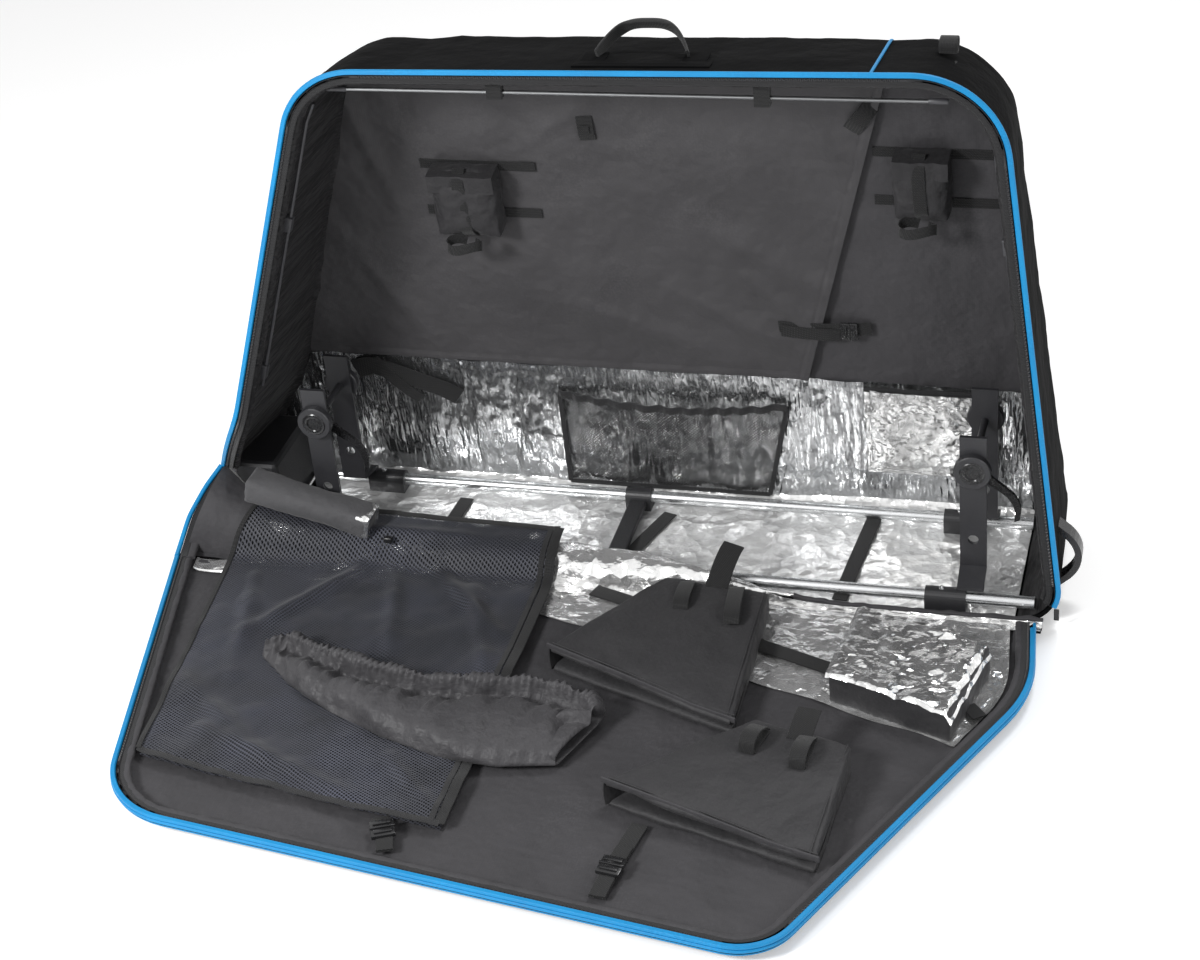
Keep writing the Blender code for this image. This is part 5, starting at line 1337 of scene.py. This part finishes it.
def fold_point(crest, angle, off=0.0, drawn=0.0, spread=0.0):
    """A place on the fabric that rises from the base's front edge to the fold line."""
    x, y, z = crest
    corner, foot = corner_share(x), WALL + CLEAR
    start, curve = FRONT_EDGE + corner * (y + FLOOR_LIP) * drawn, 1.4
    place = np.array([x - corner * spread * (1 - sin(angle)),
                      start + (y - start) * (1 - cos(angle)) ** curve, foot + (z - foot) * sin(angle)])
    slope_y = (y - start) * curve * max(0.0, 1 - cos(angle)) ** 0.4 * sin(angle)
    out = np.array([0, -(z - foot) * cos(angle), slope_y])
    length = np.linalg.norm(out)
    return place + (out / length if length > 1e-6 else np.array([0, -0.7, 0.7])) * off


def make_fold():
    """Lining sill over the front rail and the loose cloth that joins it to the lid."""
    angles = np.linspace(0.02, pi / 2, 22)
    cut = int(np.argmin(np.abs(FOLD_FINE[:, 0] - 0.270)))
    for name, part, material, hem_material, deep, stands in (
            ("sill_outer", FOLD_FINE[cut - 1:], "outer", "foil", 0.0060, ("front_sill",)),
            ("sill_cloth", FOLD_FINE[:cut + 1], "lining", "lining", 0.0020, ())):
        rows = np.array([[fold_point(crest, angle, 0.0, 0.75) for crest in part] for angle in angles])
        rows[..., 1] -= np.abs(rough(rows.reshape(-1, 3), 16, 3.0, 2)).reshape(rows.shape[:2]) * deep
        sill = thicken(facing_way(rows, 1, -1), 0.0012)
        finish(sill, name, material, "case", stands, 60)
        loose = rough(part, 22, 5.0, 2)
        line = part + np.column_stack([loose * 0, loose * 0.003, np.abs(loose) * 0.004])
        sizes = [oval(0.0075 + 0.006 * abs(v), 0.0055 + 0.004 * abs(v), 12, 2) for v in loose]
        hem = swept(line, (0, 1, 0), sizes)
        finish(hem, name + "_hem", hem_material, "case", (), 60)
    cut = int(np.argmin(np.abs(FOLD_FINE[:, 0] + 0.612)))
    for name, part, material, crushed, stands in (
            ("hinge_cloth_foil", FOLD_FINE[:cut + 1], "foil", 1.0, ("hinge_cloth",)),
            ("hinge_cloth_corner", FOLD_FINE[cut - 1:], "lining", 0.4, ())):
        rows = [[(c[0] - 0.052 * corner_share(c[0]), y, z) for c in part]
                for y, z in ((-0.044, 0.0172), (-0.036, 0.0160), (-0.028, 0.0132))]
        for t in np.linspace(0, 1, 24):
            turns = [0.10 + (pi / 2 - 0.10) * t * (1 - 0.45 * eased((c[0] - 0.20) / 0.08)) for c in part]
            rows.append([fold_point(c, turn, 0.0044, 0.0, 0.052) for c, turn in zip(part, turns)])
        rows = np.array(rows)
        outside = thicken(facing_way(rows[::3] + np.array([0, 0.0014, -0.0014]), 2, 1), 0.0004)
        across_fold(finish(outside, name + "_outside", "outer", None, (), 70))
        shift, fine = (np.abs(rough(rows.reshape(-1, 3), scale, seed, 2)).reshape(rows.shape[:2])
                       for scale, seed in ((15, 8.0), (46, 2.0)))
        amount = (0.0075 * shift + 0.0020 * fine) * crushed
        rows[..., 2] += amount * 0.7
        rows[..., 1] -= amount * np.linspace(0, 0.8, rows.shape[0])[:, None]
        obj = thicken(facing_way(rows, 2, 1), 0.0007)
        across_fold(finish(obj, name, material, None, stands, 70))
    corner = smooth(even([(-0.7342, -0.0465, 0.0292), (-0.7368, -0.034, 0.0293), (-0.7388, -0.014, 0.0350),
                          (-0.7345, 0.022, 0.0620), (-0.7160, 0.062, 0.0950), (-0.6940, 0.0880, 0.1215)],
                         0.004), 8)
    for name, shape, material, inward in (("corner_piping", piping_profile(), "piping", 0.0),
                                          ("corner_zip_tape", oval(0.0150, 0.0020, 10, 5), "tape", 0.011),
                                          ("corner_edge_cloth", oval(0.0190, 0.0070, 12, 3), "lining", 0.022)):
        line = corner + np.array([1, 0, -0.15]) * inward
        across_fold(finish(swept(line, (1, 0, 0.15), shape), name, material, None, (), 60))


def across_fold(obj):
    """Put a piece's placing into its mesh."""
    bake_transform(obj)


# ---------- loose pieces on the lid ----------

BAG_FOLDS = [
    (-0.40, -0.02, -0.54, -0.22, 0.014, 0.011), (-0.36, -0.03, -0.30, -0.24, 0.014, 0.010),
    (-0.30, -0.02, -0.15, -0.17, 0.013, 0.010), (-0.59, -0.06, -0.52, -0.32, 0.016, 0.009),
    (-0.22, -0.06, -0.12, -0.32, 0.015, 0.009), (-0.58, -0.36, -0.40, -0.51, 0.016, 0.009),
    (-0.52, -0.46, -0.25, -0.57, 0.014, 0.008), (-0.22, -0.48, -0.12, -0.58, 0.012, 0.008),
    (-0.50, 0.0, -0.20, 0.02, 0.012, 0.006)]


def cover_gap(u):
    """Height of a cover's opening along its front: wide at the left, shut at the right."""
    return 0.0015 + 0.0190 * max(0.0, 1 - max(u, 0) / 0.78) ** 0.8


def make_cover(name, node, body, corners, level, seed, loops, tab):
    """A folded padded cover: two panels joined at the rear and right, open along the front."""
    a, b, c, d = (np.array(p) for p in corners)
    tall, panel = 0.045, 0.0125
    along = (d - a) / np.linalg.norm(d - a)
    into = (b - a) / np.linalg.norm(b - a)

    def top(u, t):
        """Height of the upper panel at a share along the cover and one into it."""
        low = panel * 2 + cover_gap(u) + 0.003
        crown = 0.0070 * sin(pi * min(1, u * 0.9 + 0.05)) ** 0.6
        return low + (tall - low) * min(1, t * 1.15) + crown * sin(pi * t) ** 0.7

    rows = []
    for u in np.linspace(0, 1, 64):
        front, rear, low = a + (d - a) * u, b + (c - b) * u, top(u, 0)
        profile = [(t, 0.0) for t in np.linspace(0.0, 1, 12)]
        profile += [(1 + 0.018 * sin(pi * k / 6), tall * k / 6) for k in range(1, 6)]
        profile += [(t, top(u, t)) for t in np.linspace(1, 0, 18)]
        profile += [(-0.012, low - panel * 0.35), (-0.010, low - panel * 0.7)]
        profile += [(t, low - panel + (tall - panel * 0.2 - low) * t * 0.9)
                    for t in np.linspace(0.0, 0.93, 10)]
        profile += [(t, panel + 0.0005) for t in np.linspace(0.93, 0.0, 10)]
        profile += [(-0.012, panel * 0.65), (-0.012, panel * 0.25), (0.0, 0.0)]
        rows.append([(*(front + (rear - front) * t), level + z) for t, z in profile])
    obj = worked(sewn(grid_piece(rows)), "SMOOTH", iterations=2, factor=0.5)
    co = shape_of(obj)
    push(obj, rough(co, 13, seed, 2) * 0.0036 + rough(co, 42, seed, 2) * 0.0010)
    subdivide(obj)
    finish(obj, name + "_panel", "pad", body, (node,), 60)
    bind = [(*(a + (d - a) * u), level + panel * 1.9 + cover_gap(u) + 0.0036)
            for u in np.linspace(-0.01, 1.01, 80)]
    finish(swept(bind, UP, oval(0.0100, 0.0030, 12, 4)), name + "_binding", "lining", body, (), 60)
    end = [[(*(a + into * s - along * 0.0020 * sin(pi * z / tall)), level + z)
            for s in np.linspace(-0.001, 0.035, 10)]
           for z in np.linspace(0.004, panel * 2 + cover_gap(0) - 0.001, 8)]
    finish(thicken(grid_piece(end), 0.0030, 0.0), name + "_end_fold", "pad", body, (), 60)
    seams = []
    for side in (0, 1):
        line = []
        for share in np.linspace(0, 1, 40):
            u, t = (0.965, share) if side else (share, 0.03)
            front, rear = a + (d - a) * u, b + (c - b) * u
            line.append((*(front + (rear - front) * t), level + top(u, t) + 0.0004))
        seams.append(swept(line, UP, oval(0.0022, 0.0022, 8)))
    finish(merged(seams), name + "_seams", "pad", body, (), 60)
    on = level + tall + 0.0056
    for k, (foot, rear, rise) in enumerate(loops):
        foot, run = np.array(foot), np.array(rear) - np.array(foot)
        line = [(*(foot + run * t), on + rise * sin(pi * min(1.0, t ** 0.62)) ** 0.6)
                for t in np.linspace(0, 1, 25)]
        under = [(*(foot + run * t), on) for t in (0.06, 0.5, 0.94)]
        across = (-run[1], run[0], 0)
        lay(f"{name}_loop_{k + 1}", line, across, 0.024, 0.0022, body, 0.003, None)
        lay(f"{name}_loop_foot_{k + 1}", under, across, 0.025, 0.0020, body, 0.003, None)
    lay(name + "_tab", tab, (1, -0.12, 0), 0.036, 0.0030, body, up=None)


def make_foil_box():
    """Padded box with a crumpled foil top that hangs over its open right end."""
    body = soft_copy("foil_box", 0.0045, 4, 0.0022)
    push(body, rough(shape_of(body), 30, 2.0) * 0.0016)
    finish(subdivide(body), "foil_box_body", "pad", "box", ("foil_box",), 60)
    rows = quad((0.372, -0.250), (0.560, -0.318), (0.392, -0.078), (0.598, -0.150), 90, 70)
    u, v = (share.reshape(-1) for share in shares(rows))
    flat = rows.reshape(-1, 2)
    space = at_height(flat)
    crushed = 0.011 * np.abs(rough(space, 13, 3.0, 2)) + 0.0035 * np.abs(rough(space, 34, 6.0, 2))
    fall = (0.016 * eased((u - 0.94) / 0.06) + 0.0045 * eased((0.03 - v) / 0.03)
            + 0.004 * eased((v - 0.97) / 0.03) + 0.004 * eased((0.05 - u) / 0.05))
    flat += (flat - flat.mean(axis=0)) * 0.012
    obj = thicken(raised(rows, 0.0665 + crushed - fall), 0.0009)
    finish(obj, "foil_box_top", "box_foil", "box", (), 70)


def make_gathered():
    """Elasticated cover: a soft crescent with a ruffled rear edge and an open right end."""
    count, level = 300, 0.0245
    rear = smooth(even([(-0.487, -0.274), (-0.450, -0.256), (-0.370, -0.294), (-0.290, -0.324),
                        (-0.210, -0.338), (-0.130, -0.334), (-0.060, -0.318), (0.000, -0.322),
                        (0.045, -0.337), (0.060, -0.362)], count=count), 8)
    front = smooth(even([(-0.492, -0.280), (-0.430, -0.338), (-0.341, -0.396), (-0.240, -0.442),
                         (-0.145, -0.474), (-0.060, -0.480), (0.024, -0.462)], count=count), 8)
    rows = []
    for f, r, u in zip(front, rear, np.linspace(0, 1, count)):
        full = sin(pi * min(1, u * 0.86 + 0.05)) ** 0.6
        tall, ridge = 0.008 + 0.030 * full, 0.014 + 0.024 * full
        wide = max(0.02, float(np.linalg.norm(r - f)))
        ruffle = 0.7 * sin(u * 340 + 4 * noise.noise((u * 9, 2.0, 0))) + 0.7 * noise.noise((u * 90, 1.3, 0))
        pleat = 0.6 * sin(u * 170 + 5 * noise.noise((u * 7, 5.0, 0))) + noise.noise((u * 45, 7.3, 0))
        profile = [(t, 0.0) for t in np.linspace(0, 1.0, 12)]
        # The ruffled edge, as (distance behind the rear line, height)
        profile += [(1 + back / wide, z) for back, z in (
            (0.016, 0.2 * ridge), (0.016 + 0.004 * ruffle, 0.6 * ridge),
            (0.009 + 0.004 * ruffle, ridge * 0.9), (0.005 + 0.005 * ruffle, ridge + 0.007),
            (-0.001 + 0.004 * ruffle, ridge + 0.0095 + 0.002 * ruffle),
            (-0.006 + 0.004 * ruffle, ridge + 0.006), (-0.008, ridge - 0.001))]
        for t in np.linspace(1 - 0.014 / wide, 0.02, 30):
            away = (1 - t) * wide
            crown = tall * (0.55 + 0.45 * sin(pi * (t * 0.85 + 0.10)))
            dip = -0.012 * full * np.exp(-((away - 0.020) / 0.013) ** 2)
            fold = 0.0042 * pleat * np.exp(-away / 0.030) + 0.0018 * pleat * np.exp(-away / 0.075)
            near = max(0.0, 1 - t * wide / 0.020)
            profile.append((t - 0.10 * near ** 2 * (1 - near),
                            max(0.002, (crown + dip) * (1 - 0.80 * near ** 2) + fold)))
        rows.append([(*(f + (r - f) * t), level + max(0.0, z)) for t, z in profile + profile[:1]])
    middle = np.mean(rows[-1], axis=0)
    # The open end, turned in as (size, how far along)
    mouth = [middle + (np.array(rows[-1]) - middle) * size + np.array([along, 0, 0]) for size, along in (
        (0.93, 0.001), (0.86, -0.006), (0.80, -0.020), (0.70, -0.040), (0.55, -0.052))]
    obj = sewn(grid_piece(np.concatenate([rows, mouth])))
    co = shape_of(obj)
    folds = (rough(co * np.array([1.3, 0.5, 1]), 17, 3.0, 2) * 0.0105
             + rough(co * np.array([1, 0.3, 1]), 45, 7.0, 2) * 0.0014)
    push(obj, folds * eased((co[:, 2] - level) / 0.012))
    subdivide(obj)
    finish(obj, "gathered_cover_cloth", "gathered", "gathered", ("gathered_cover",), 70)


def make_tube_pad():
    """Foam sleeve on the sill, with foil showing at its open right end."""
    obj = puff(soft_copy("tube_pad", 0.004, 3, 0.0012), 4.0, 0.004)
    push(obj, rough(shape_of(obj), 24, 2.0) * 0.0016)
    finish(subdivide(obj), "tube_pad_sleeve", "sleeve", "sleeve", ("tube_pad",), 60)
    end, start = np.array((-0.408, 0.010, 0.0868)), np.array((-0.612, 0.016, 0.1388))
    run = (end - start) / np.linalg.norm(end - start)
    across = np.cross(UP, run)
    across /= np.linalg.norm(across)
    up = np.cross(run, across)
    rows = []
    for size, out in ((1.04, -0.020), (1.08, -0.004), (1.02, 0.004), (0.86, 0.002), (0.74, -0.008),
                      (0.5, -0.012), (0.05, -0.012)):
        row = [end + run * out + across * x * size + up * y * size for x, y in oval(0.050, 0.040, 40, 5)]
        rows.append(row + row[:1])
    cap = subdivide(sewn(grid_piece(rows), 1e-5, False))
    push(cap, np.abs(rough(shape_of(cap), 60, 4.0)) * 0.002)
    finish(thicken(cap, 0.0008), "tube_pad_foil_end", "box_foil", "sleeve", (), 70)


def crumples(obj):
    """Give a piece of the net bag a mesh of its own."""
    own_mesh(obj)


def bag_rows(raise_by, nu=150, nv=130):
    """Rows of a layer of the net bag, over the lid's lining and up over the sill."""
    columns = []
    for u in np.linspace(0, 1, nu):
        low = np.array([-0.590, -0.522]) * (1 - u) + np.array([-0.100, -0.610]) * u
        low[1] -= 0.006 * sin(pi * u)
        high = np.array([-0.643 * (1 - u) + -0.108 * u, -0.040])
        plan = np.array([low + (high - low) * t for t in np.linspace(0, 1, 60)])
        heights = np.maximum(lid_height(plan), LID_FLOOR) + 0.0035 + raise_by
        line = list(np.column_stack([plan, heights]))
        edge = -0.598 * (1 - u) - 0.108 * u
        crest = np.array([np.interp(-edge, -FOLD_FINE[:, 0], FOLD_FINE[:, k]) for k in range(3)])
        for angle in np.linspace(0.35, pi / 2, 12):
            place = fold_point(crest, angle, 0.0095 + raise_by * 0.7)
            line.append(place + np.array([(high[0] - edge) * cos(angle), 0, 0]))
        line.append(line[-1] + np.array([0, 0.016, 0.001]))
        columns.append(even(smooth(line, 4), count=nv))
    return np.ascontiguousarray(np.array(columns).transpose(1, 0, 2))


def make_mesh_bag():
    """Net bag laid over the lid and up over the sill: two layers with hems and a toggle."""
    under = np.array([(-0.47, -0.275), (-0.34, -0.345), (-0.20, -0.39), (-0.06, -0.40), (0.03, -0.40)])
    for name, raise_by, seed, least, stands in (("mesh_bag_net", 0.0095, 2.0, 0.0, ("mesh_bag",)),
                                                ("mesh_bag_under", 0.0035, 3.0, -0.0015, ())):
        rows = bag_rows(raise_by)
        flat = rows.reshape(-1, 3)
        free = np.clip((edge_gap(flat[:, :2], under) - 0.045) / 0.035, 0, 1)
        soft = rough(flat, 5, seed, 2) * 0.0070 + rough(flat, 15, 6.0, 2) * 0.0046
        flat[:, 2] += np.maximum((soft + ridges(flat[:, :2], BAG_FOLDS)) * (0.15 + 0.85 * free), least)
        obj = finish(thicken(grid_piece(rows), 0.0005), name, "net", "lid", stands, 70)
        crumples(obj)
        if not stands:
            continue
        side, front = (1, 0.05, 0), (0.1, 1, 0)
        for label, line, width, material, across in (
                ("right", rows[:, -1], 0.016, "webbing", side),
                ("right_inner", rows[:, -5], 0.009, "tape", side),
                ("left", rows[:, 0], 0.008, "webbing", side), ("front", rows[0], 0.011, "elastic", front),
                ("rear", rows[-1], 0.012, "webbing", front)):
            lifted = smooth(line, 2) + np.array([0, 0, 0.0012])
            hem = swept(lifted, across, oval(width, 0.0018, 12, 4))
            crumples(finish(hem, "mesh_bag_hem_" + label, material, "lid"))
        place = Matrix.Translation(rows[-14, 72] + np.array([0, -0.004, 0.009]))
        toggle = box_piece((0.014, 0.010, 0.010), place, 0.0025, 3)
        crumples(finish(toggle, "mesh_bag_toggle", "gloss", "lid"))


def make_lid_straps():
    """Short webbing straps with box buckles near the lid's front edge."""
    for name, node, points, raise_by, at in (
            ("lid_strap_l", "lid_strap_left", [(-0.190, -0.602), (-0.180, -0.622), (-0.168, -0.645),
                                               (-0.160, -0.668)], 0.0034, 0.45),
            ("lid_strap_r", "lid_strap_right", [(0.170, -0.556), (0.163, -0.600), (0.155, -0.650),
                                                (0.149, -0.706)], 0.0008, 0.62)):
        line = even(over_lid(points, 0.0062), 0.004)
        line[:, 2] += np.abs(np.sin(np.linspace(0, pi * 2, len(line)))) * 0.0012 + raise_by
        run = Vector(line[-1] - line[0]).normalized()
        across = Vector(UP).cross(run)
        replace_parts(lay(name, line, across, 0.025, 0.0020, "lid"), node)
        tail = line[int(len(line) * 0.35):] + np.array([0, 0, 0.0030])
        lay(name + "_tail", tail, across, 0.024, 0.0018, "lid")
        middle = line[int(len(line) * at)] + np.array([0, 0, 0.0024])
        buckle(name + "_buckle", axes(middle, run, across), 0.026, 0.034, 0.0065, "lid")


# ---------- handles, straps and pads outside ----------

TOP_FALL = TOP_INSET / (TOP_DEPTH - BACK_RADIUS)


def on_top(x, y, up):
    """A place above the roof."""
    rise = TOP_RISE * (x - TOP_LEFT) / (TOP_RIGHT - TOP_LEFT)
    return np.array([x, y, BODY_HEIGHT + rise - TOP_FALL * y + up])


def make_handles():
    """Top handle of doubled webbing on its stitched patch."""
    rows = np.array([[on_top(x, y, 0.0038) for x in np.linspace(-0.004, 0.192, 60)]
                     for y in np.linspace(0.018, 0.092, 24)])
    u, v = shares(rows)
    gap = np.minimum(np.minimum(u, 1 - u) * 0.196, np.minimum(v, 1 - v) * 0.074)
    rows[..., 2] += 0.0012 * np.clip(gap / 0.004, 0, 1) - 0.0012 * np.exp(-((gap - 0.006) / 0.0012) ** 2)
    finish(thicken(grid_piece(rows), 0.0030), "top_handle_patch", "outer", "case", (), 60)
    for k, x in enumerate((0.0, 0.145)):
        foot = [on_top(x + along, 0.056, 0.0062) for along in np.linspace(0.004, 0.038, 8)]
        lay(f"top_handle_foot_{k + 1}", foot, (0, 1, 0), 0.030, 0.0026, material="outer")
    slope = Vector((TOP_RIGHT - TOP_LEFT, 0, TOP_RISE)).normalized()
    up = Matrix.Rotation(radians(-60), 3, slope) @ slope.cross(Vector((0, 1, 0)))
    low, _ = box_of("top_handle")
    foot = Vector((0.090, 0.053, low.z + 0.011))
    line, profiles = [], []
    for t in np.linspace(-1, 1, 61):
        along, rise = 0.0655 * abs(t) ** 0.85 * (1 if t > 0 else -1), 0.056 * (1 - abs(t) ** 2.6)
        line.append(foot + slope * along + up * rise)
        grip = float(eased((0.55 - abs(t)) / 0.25))
        profiles.append(oval(0.024 - 0.008 * grip, 0.0045 + 0.0050 * grip, 16, 3.5))
    handle = swept(line, np.array(slope.cross(up)), profiles)
    finish(handle, "top_handle_webbing", "webbing", None, ("top_handle",), 50)
    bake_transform(handle)


def make_strap_roll():
    """Carrying strap rolled up on its tab at the top right corner."""
    low, high = box_of("strap_roll")
    x = (low.x + high.x) / 2
    centre = Vector((x, high.y - 0.0135, high.z - 0.0135))
    coil = []
    for t in np.linspace(0, 1, 140):
        a, r = t * 2 * pi * 3.6, 0.0030 + 0.0100 * t
        coil.append(centre + Vector((0.0006 * sin(a * 0.7), cos(a) * r, sin(a) * r)))
    roll = swept(coil, (1, 0, 0), oval(0.0250, 0.0020, 12, 5))
    finish(roll, "strap_roll_coil", "webbing", "case", ("strap_roll",), 50)
    ribs = []
    for k in range(15):
        along = 0.004 + k * 0.0046
        place = Matrix.Translation((x, low.y + along, low.z + 0.0082 - 0.139 * along))
        ribs.append(box_piece((0.0255, 0.0030, 0.0050), place, 0.0010))
    finish(merged(ribs), "strap_roll_ribs", "webbing", "case", (), 50)
    tab = [(x, y, low.z + 0.0070 - TOP_FALL * (y - low.y)) for y in np.linspace(low.y, high.y - 0.012, 12)]
    lay("strap_roll_tab", tab, (1, 0, 0), 0.026, 0.0028)


def make_back_piping():
    """Piping across the top seam and along the back edge to the right."""
    rows, outs = wall_surface(AT_RIGHT_SEAM, AT_FLOOR, 0.0, 14)
    across = rows[:, 0] + outs[:, 0] * 0.0008
    back = rows[-2] + outs[-2] * 0.0010
    line = even(smooth(np.concatenate([across[:-1], back]), 3), 0.006)
    finish(swept(line, (0.6, 0.3, 0.7), oval(0.0046, 0.0046, 10)), "back_seam_piping", "piping")


# ---------- details of the stands, rods and wheels ----------

def make_stand_details():
    """Hub rings, notched bores and clamp screws."""
    for side, hub_x in HUBS:
        body = side + "_stand"
        for label, way in (("front", -1), ("rear", 1)):
            co = shape_of(NODES[f"{side}_post_{label}"])
            socket = np.hypot(co[:, 0] - hub_x, co[:, 2] - HUB_HEIGHT) < 0.03
            face = way * (co[socket, 1] * way).max()
            place = facing((hub_x, face + way * 0.0002, HUB_HEIGHT), (0, way, 0))
            ring = turned([(0.0106, -0.0080), (0.0106, 0.0004), (0.0120, 0.0014), (0.0150, 0.0008),
                           (0.0175, 0.0014), (0.0190, 0.0004), (0.0190, -0.0012)], place, 40)
            finish(ring, f"{side}_hub_cap_{label}", "gloss", body)
            notch = box_piece((0.0022, 0.0016, 0.0020), bevel=0.0003, segments=1)
            out = Matrix.Translation((0.0120, 0, 0.0012))
            spots = [place @ Matrix.Rotation(2 * pi * k / 10, 4, "Z") @ out for k in range(10)]
            finish(copies(notch, spots), f"{side}_hub_notches_{label}", "gloss", body, (), 30)
        for label in ("front", "rear"):
            low, high = box_of(f"{side}_clamp_{label}")
            middle = (low + high) / 2
            head = turned([(0.0, 0.0026), (0.0010, 0.0026), (0.0014, 0.0016), (0.0030, 0.0022),
                           (0.0044, 0.0014), (0.0047, 0.0004), (0.0047, -0.0010)],
                          Matrix.Translation((middle.x - 0.006, middle.y, high.z)), 24)
            finish(head, f"{side}_clamp_screw_{label}", "steel", body, (), 35)


def make_rod_details():
    """Ferrules on the top rod, and the caps of the floor rails."""
    low, high = box_of("top_rod")
    ends = ((low.x, low.z + 0.003, 0.030, 1), (high.x, high.z - 0.003, 0.024, -1))
    for k, (x, z, length, way) in enumerate(ends):
        cap = turned([(0.0, -0.003), (0.0030, -0.003), (0.0042, -0.001), (0.0042, length - 0.002),
                      (0.0034, length)], facing((x, 0.030, z), (way, 0, 0.006)), 20)
        finish(cap, f"top_rod_ferrule_{k + 1}", "rod")
    for node in ("front_rail", "rear_rail"):
        low, high = box_of(node)
        middle = (low + high) / 2
        for k, (x, way) in enumerate(((high.x, 1), (low.x, -1))):
            cap = turned([(0.0, 0.0014), (0.0070, 0.0014), (0.0088, 0.0002), (0.0088, -0.003)],
                         facing((x, middle.y, middle.z), (way, 0, 0)), 28)
            finish(cap, f"{node}_cap_{k + 1}", "plastic")


def make_wheel_details():
    """Hubs of the wheels."""
    for node, body in (("wheel_front", "wheel_f"), ("wheel_rear", "wheel_r")):
        low, high = box_of(node)
        centre = (low + high) / 2
        for k, (y, way) in enumerate(((low.y, -1), (high.y, 1))):
            disc = turned([(0.0055, -0.0040), (0.0055, 0.0010), (0.0080, 0.0014), (0.0090, -0.0010),
                           (0.0180, -0.0010), (0.0195, 0.0012), (0.0225, 0.0014), (0.0235, -0.0020)],
                          facing((centre.x, y, centre.z), (0, way, 0)), 40)
            finish(disc, f"{node}_hub_{k + 1}", "plastic", body)


# ---------- making it all, in order ----------

make_outer_walls()
make_wall_lining()
make_body_trim()
make_back()
make_wall_foil()
make_divider()
make_pad("left_pad", "pad_left", (-0.318, -0.134), (0.631, 0.548), WALL + 0.0086, 1.0)
make_pad("right_pad", "pad_right", (0.380, 0.562), (0.674, 0.592), WALL + 0.0012, 5.0)
make_wall_straps()
make_mesh_pocket()
make_foil_pocket()
make_floor_sheets()
for finish_name, solids in NODE_FINISHES.items():
    set_material(solids, finish_name)
make_lid()
make_lid_foil()
make_fold()
make_cover("near_cover", "cover_1", "cover_near",
           [(-0.045, -0.236), (0.087, -0.034), (0.250, -0.055), (0.256, -0.344)], 0.0140, 1.0,
           (((0.128, -0.122), (0.125, -0.052), 0.010), ((0.212, -0.148), (0.202, -0.056), 0.011)),
           [(0.168, -0.055, 0.060), (0.170, -0.035, 0.066), (0.173, -0.012, 0.076), (0.178, 0.008, 0.086),
            (0.182, 0.020, 0.090)])
make_cover("far_cover", "cover_2", "cover_far",
           [(0.113, -0.520), (0.292, -0.352), (0.434, -0.393), (0.425, -0.610)], 0.0130, 4.0,
           (((0.295, -0.437), (0.307, -0.380), 0.022), ((0.370, -0.459), (0.375, -0.391), 0.019)),
           [(0.360, -0.396, 0.0615), (0.362, -0.378, 0.0660), (0.364, -0.356, 0.0700),
            (0.366, -0.338, 0.0715)])
make_foil_box()
make_gathered()
make_tube_pad()
make_mesh_bag()
make_lid_straps()
make_handles()
make_strap_roll()
make_back_piping()
make_stand_details()
make_rod_details()
make_wheel_details()
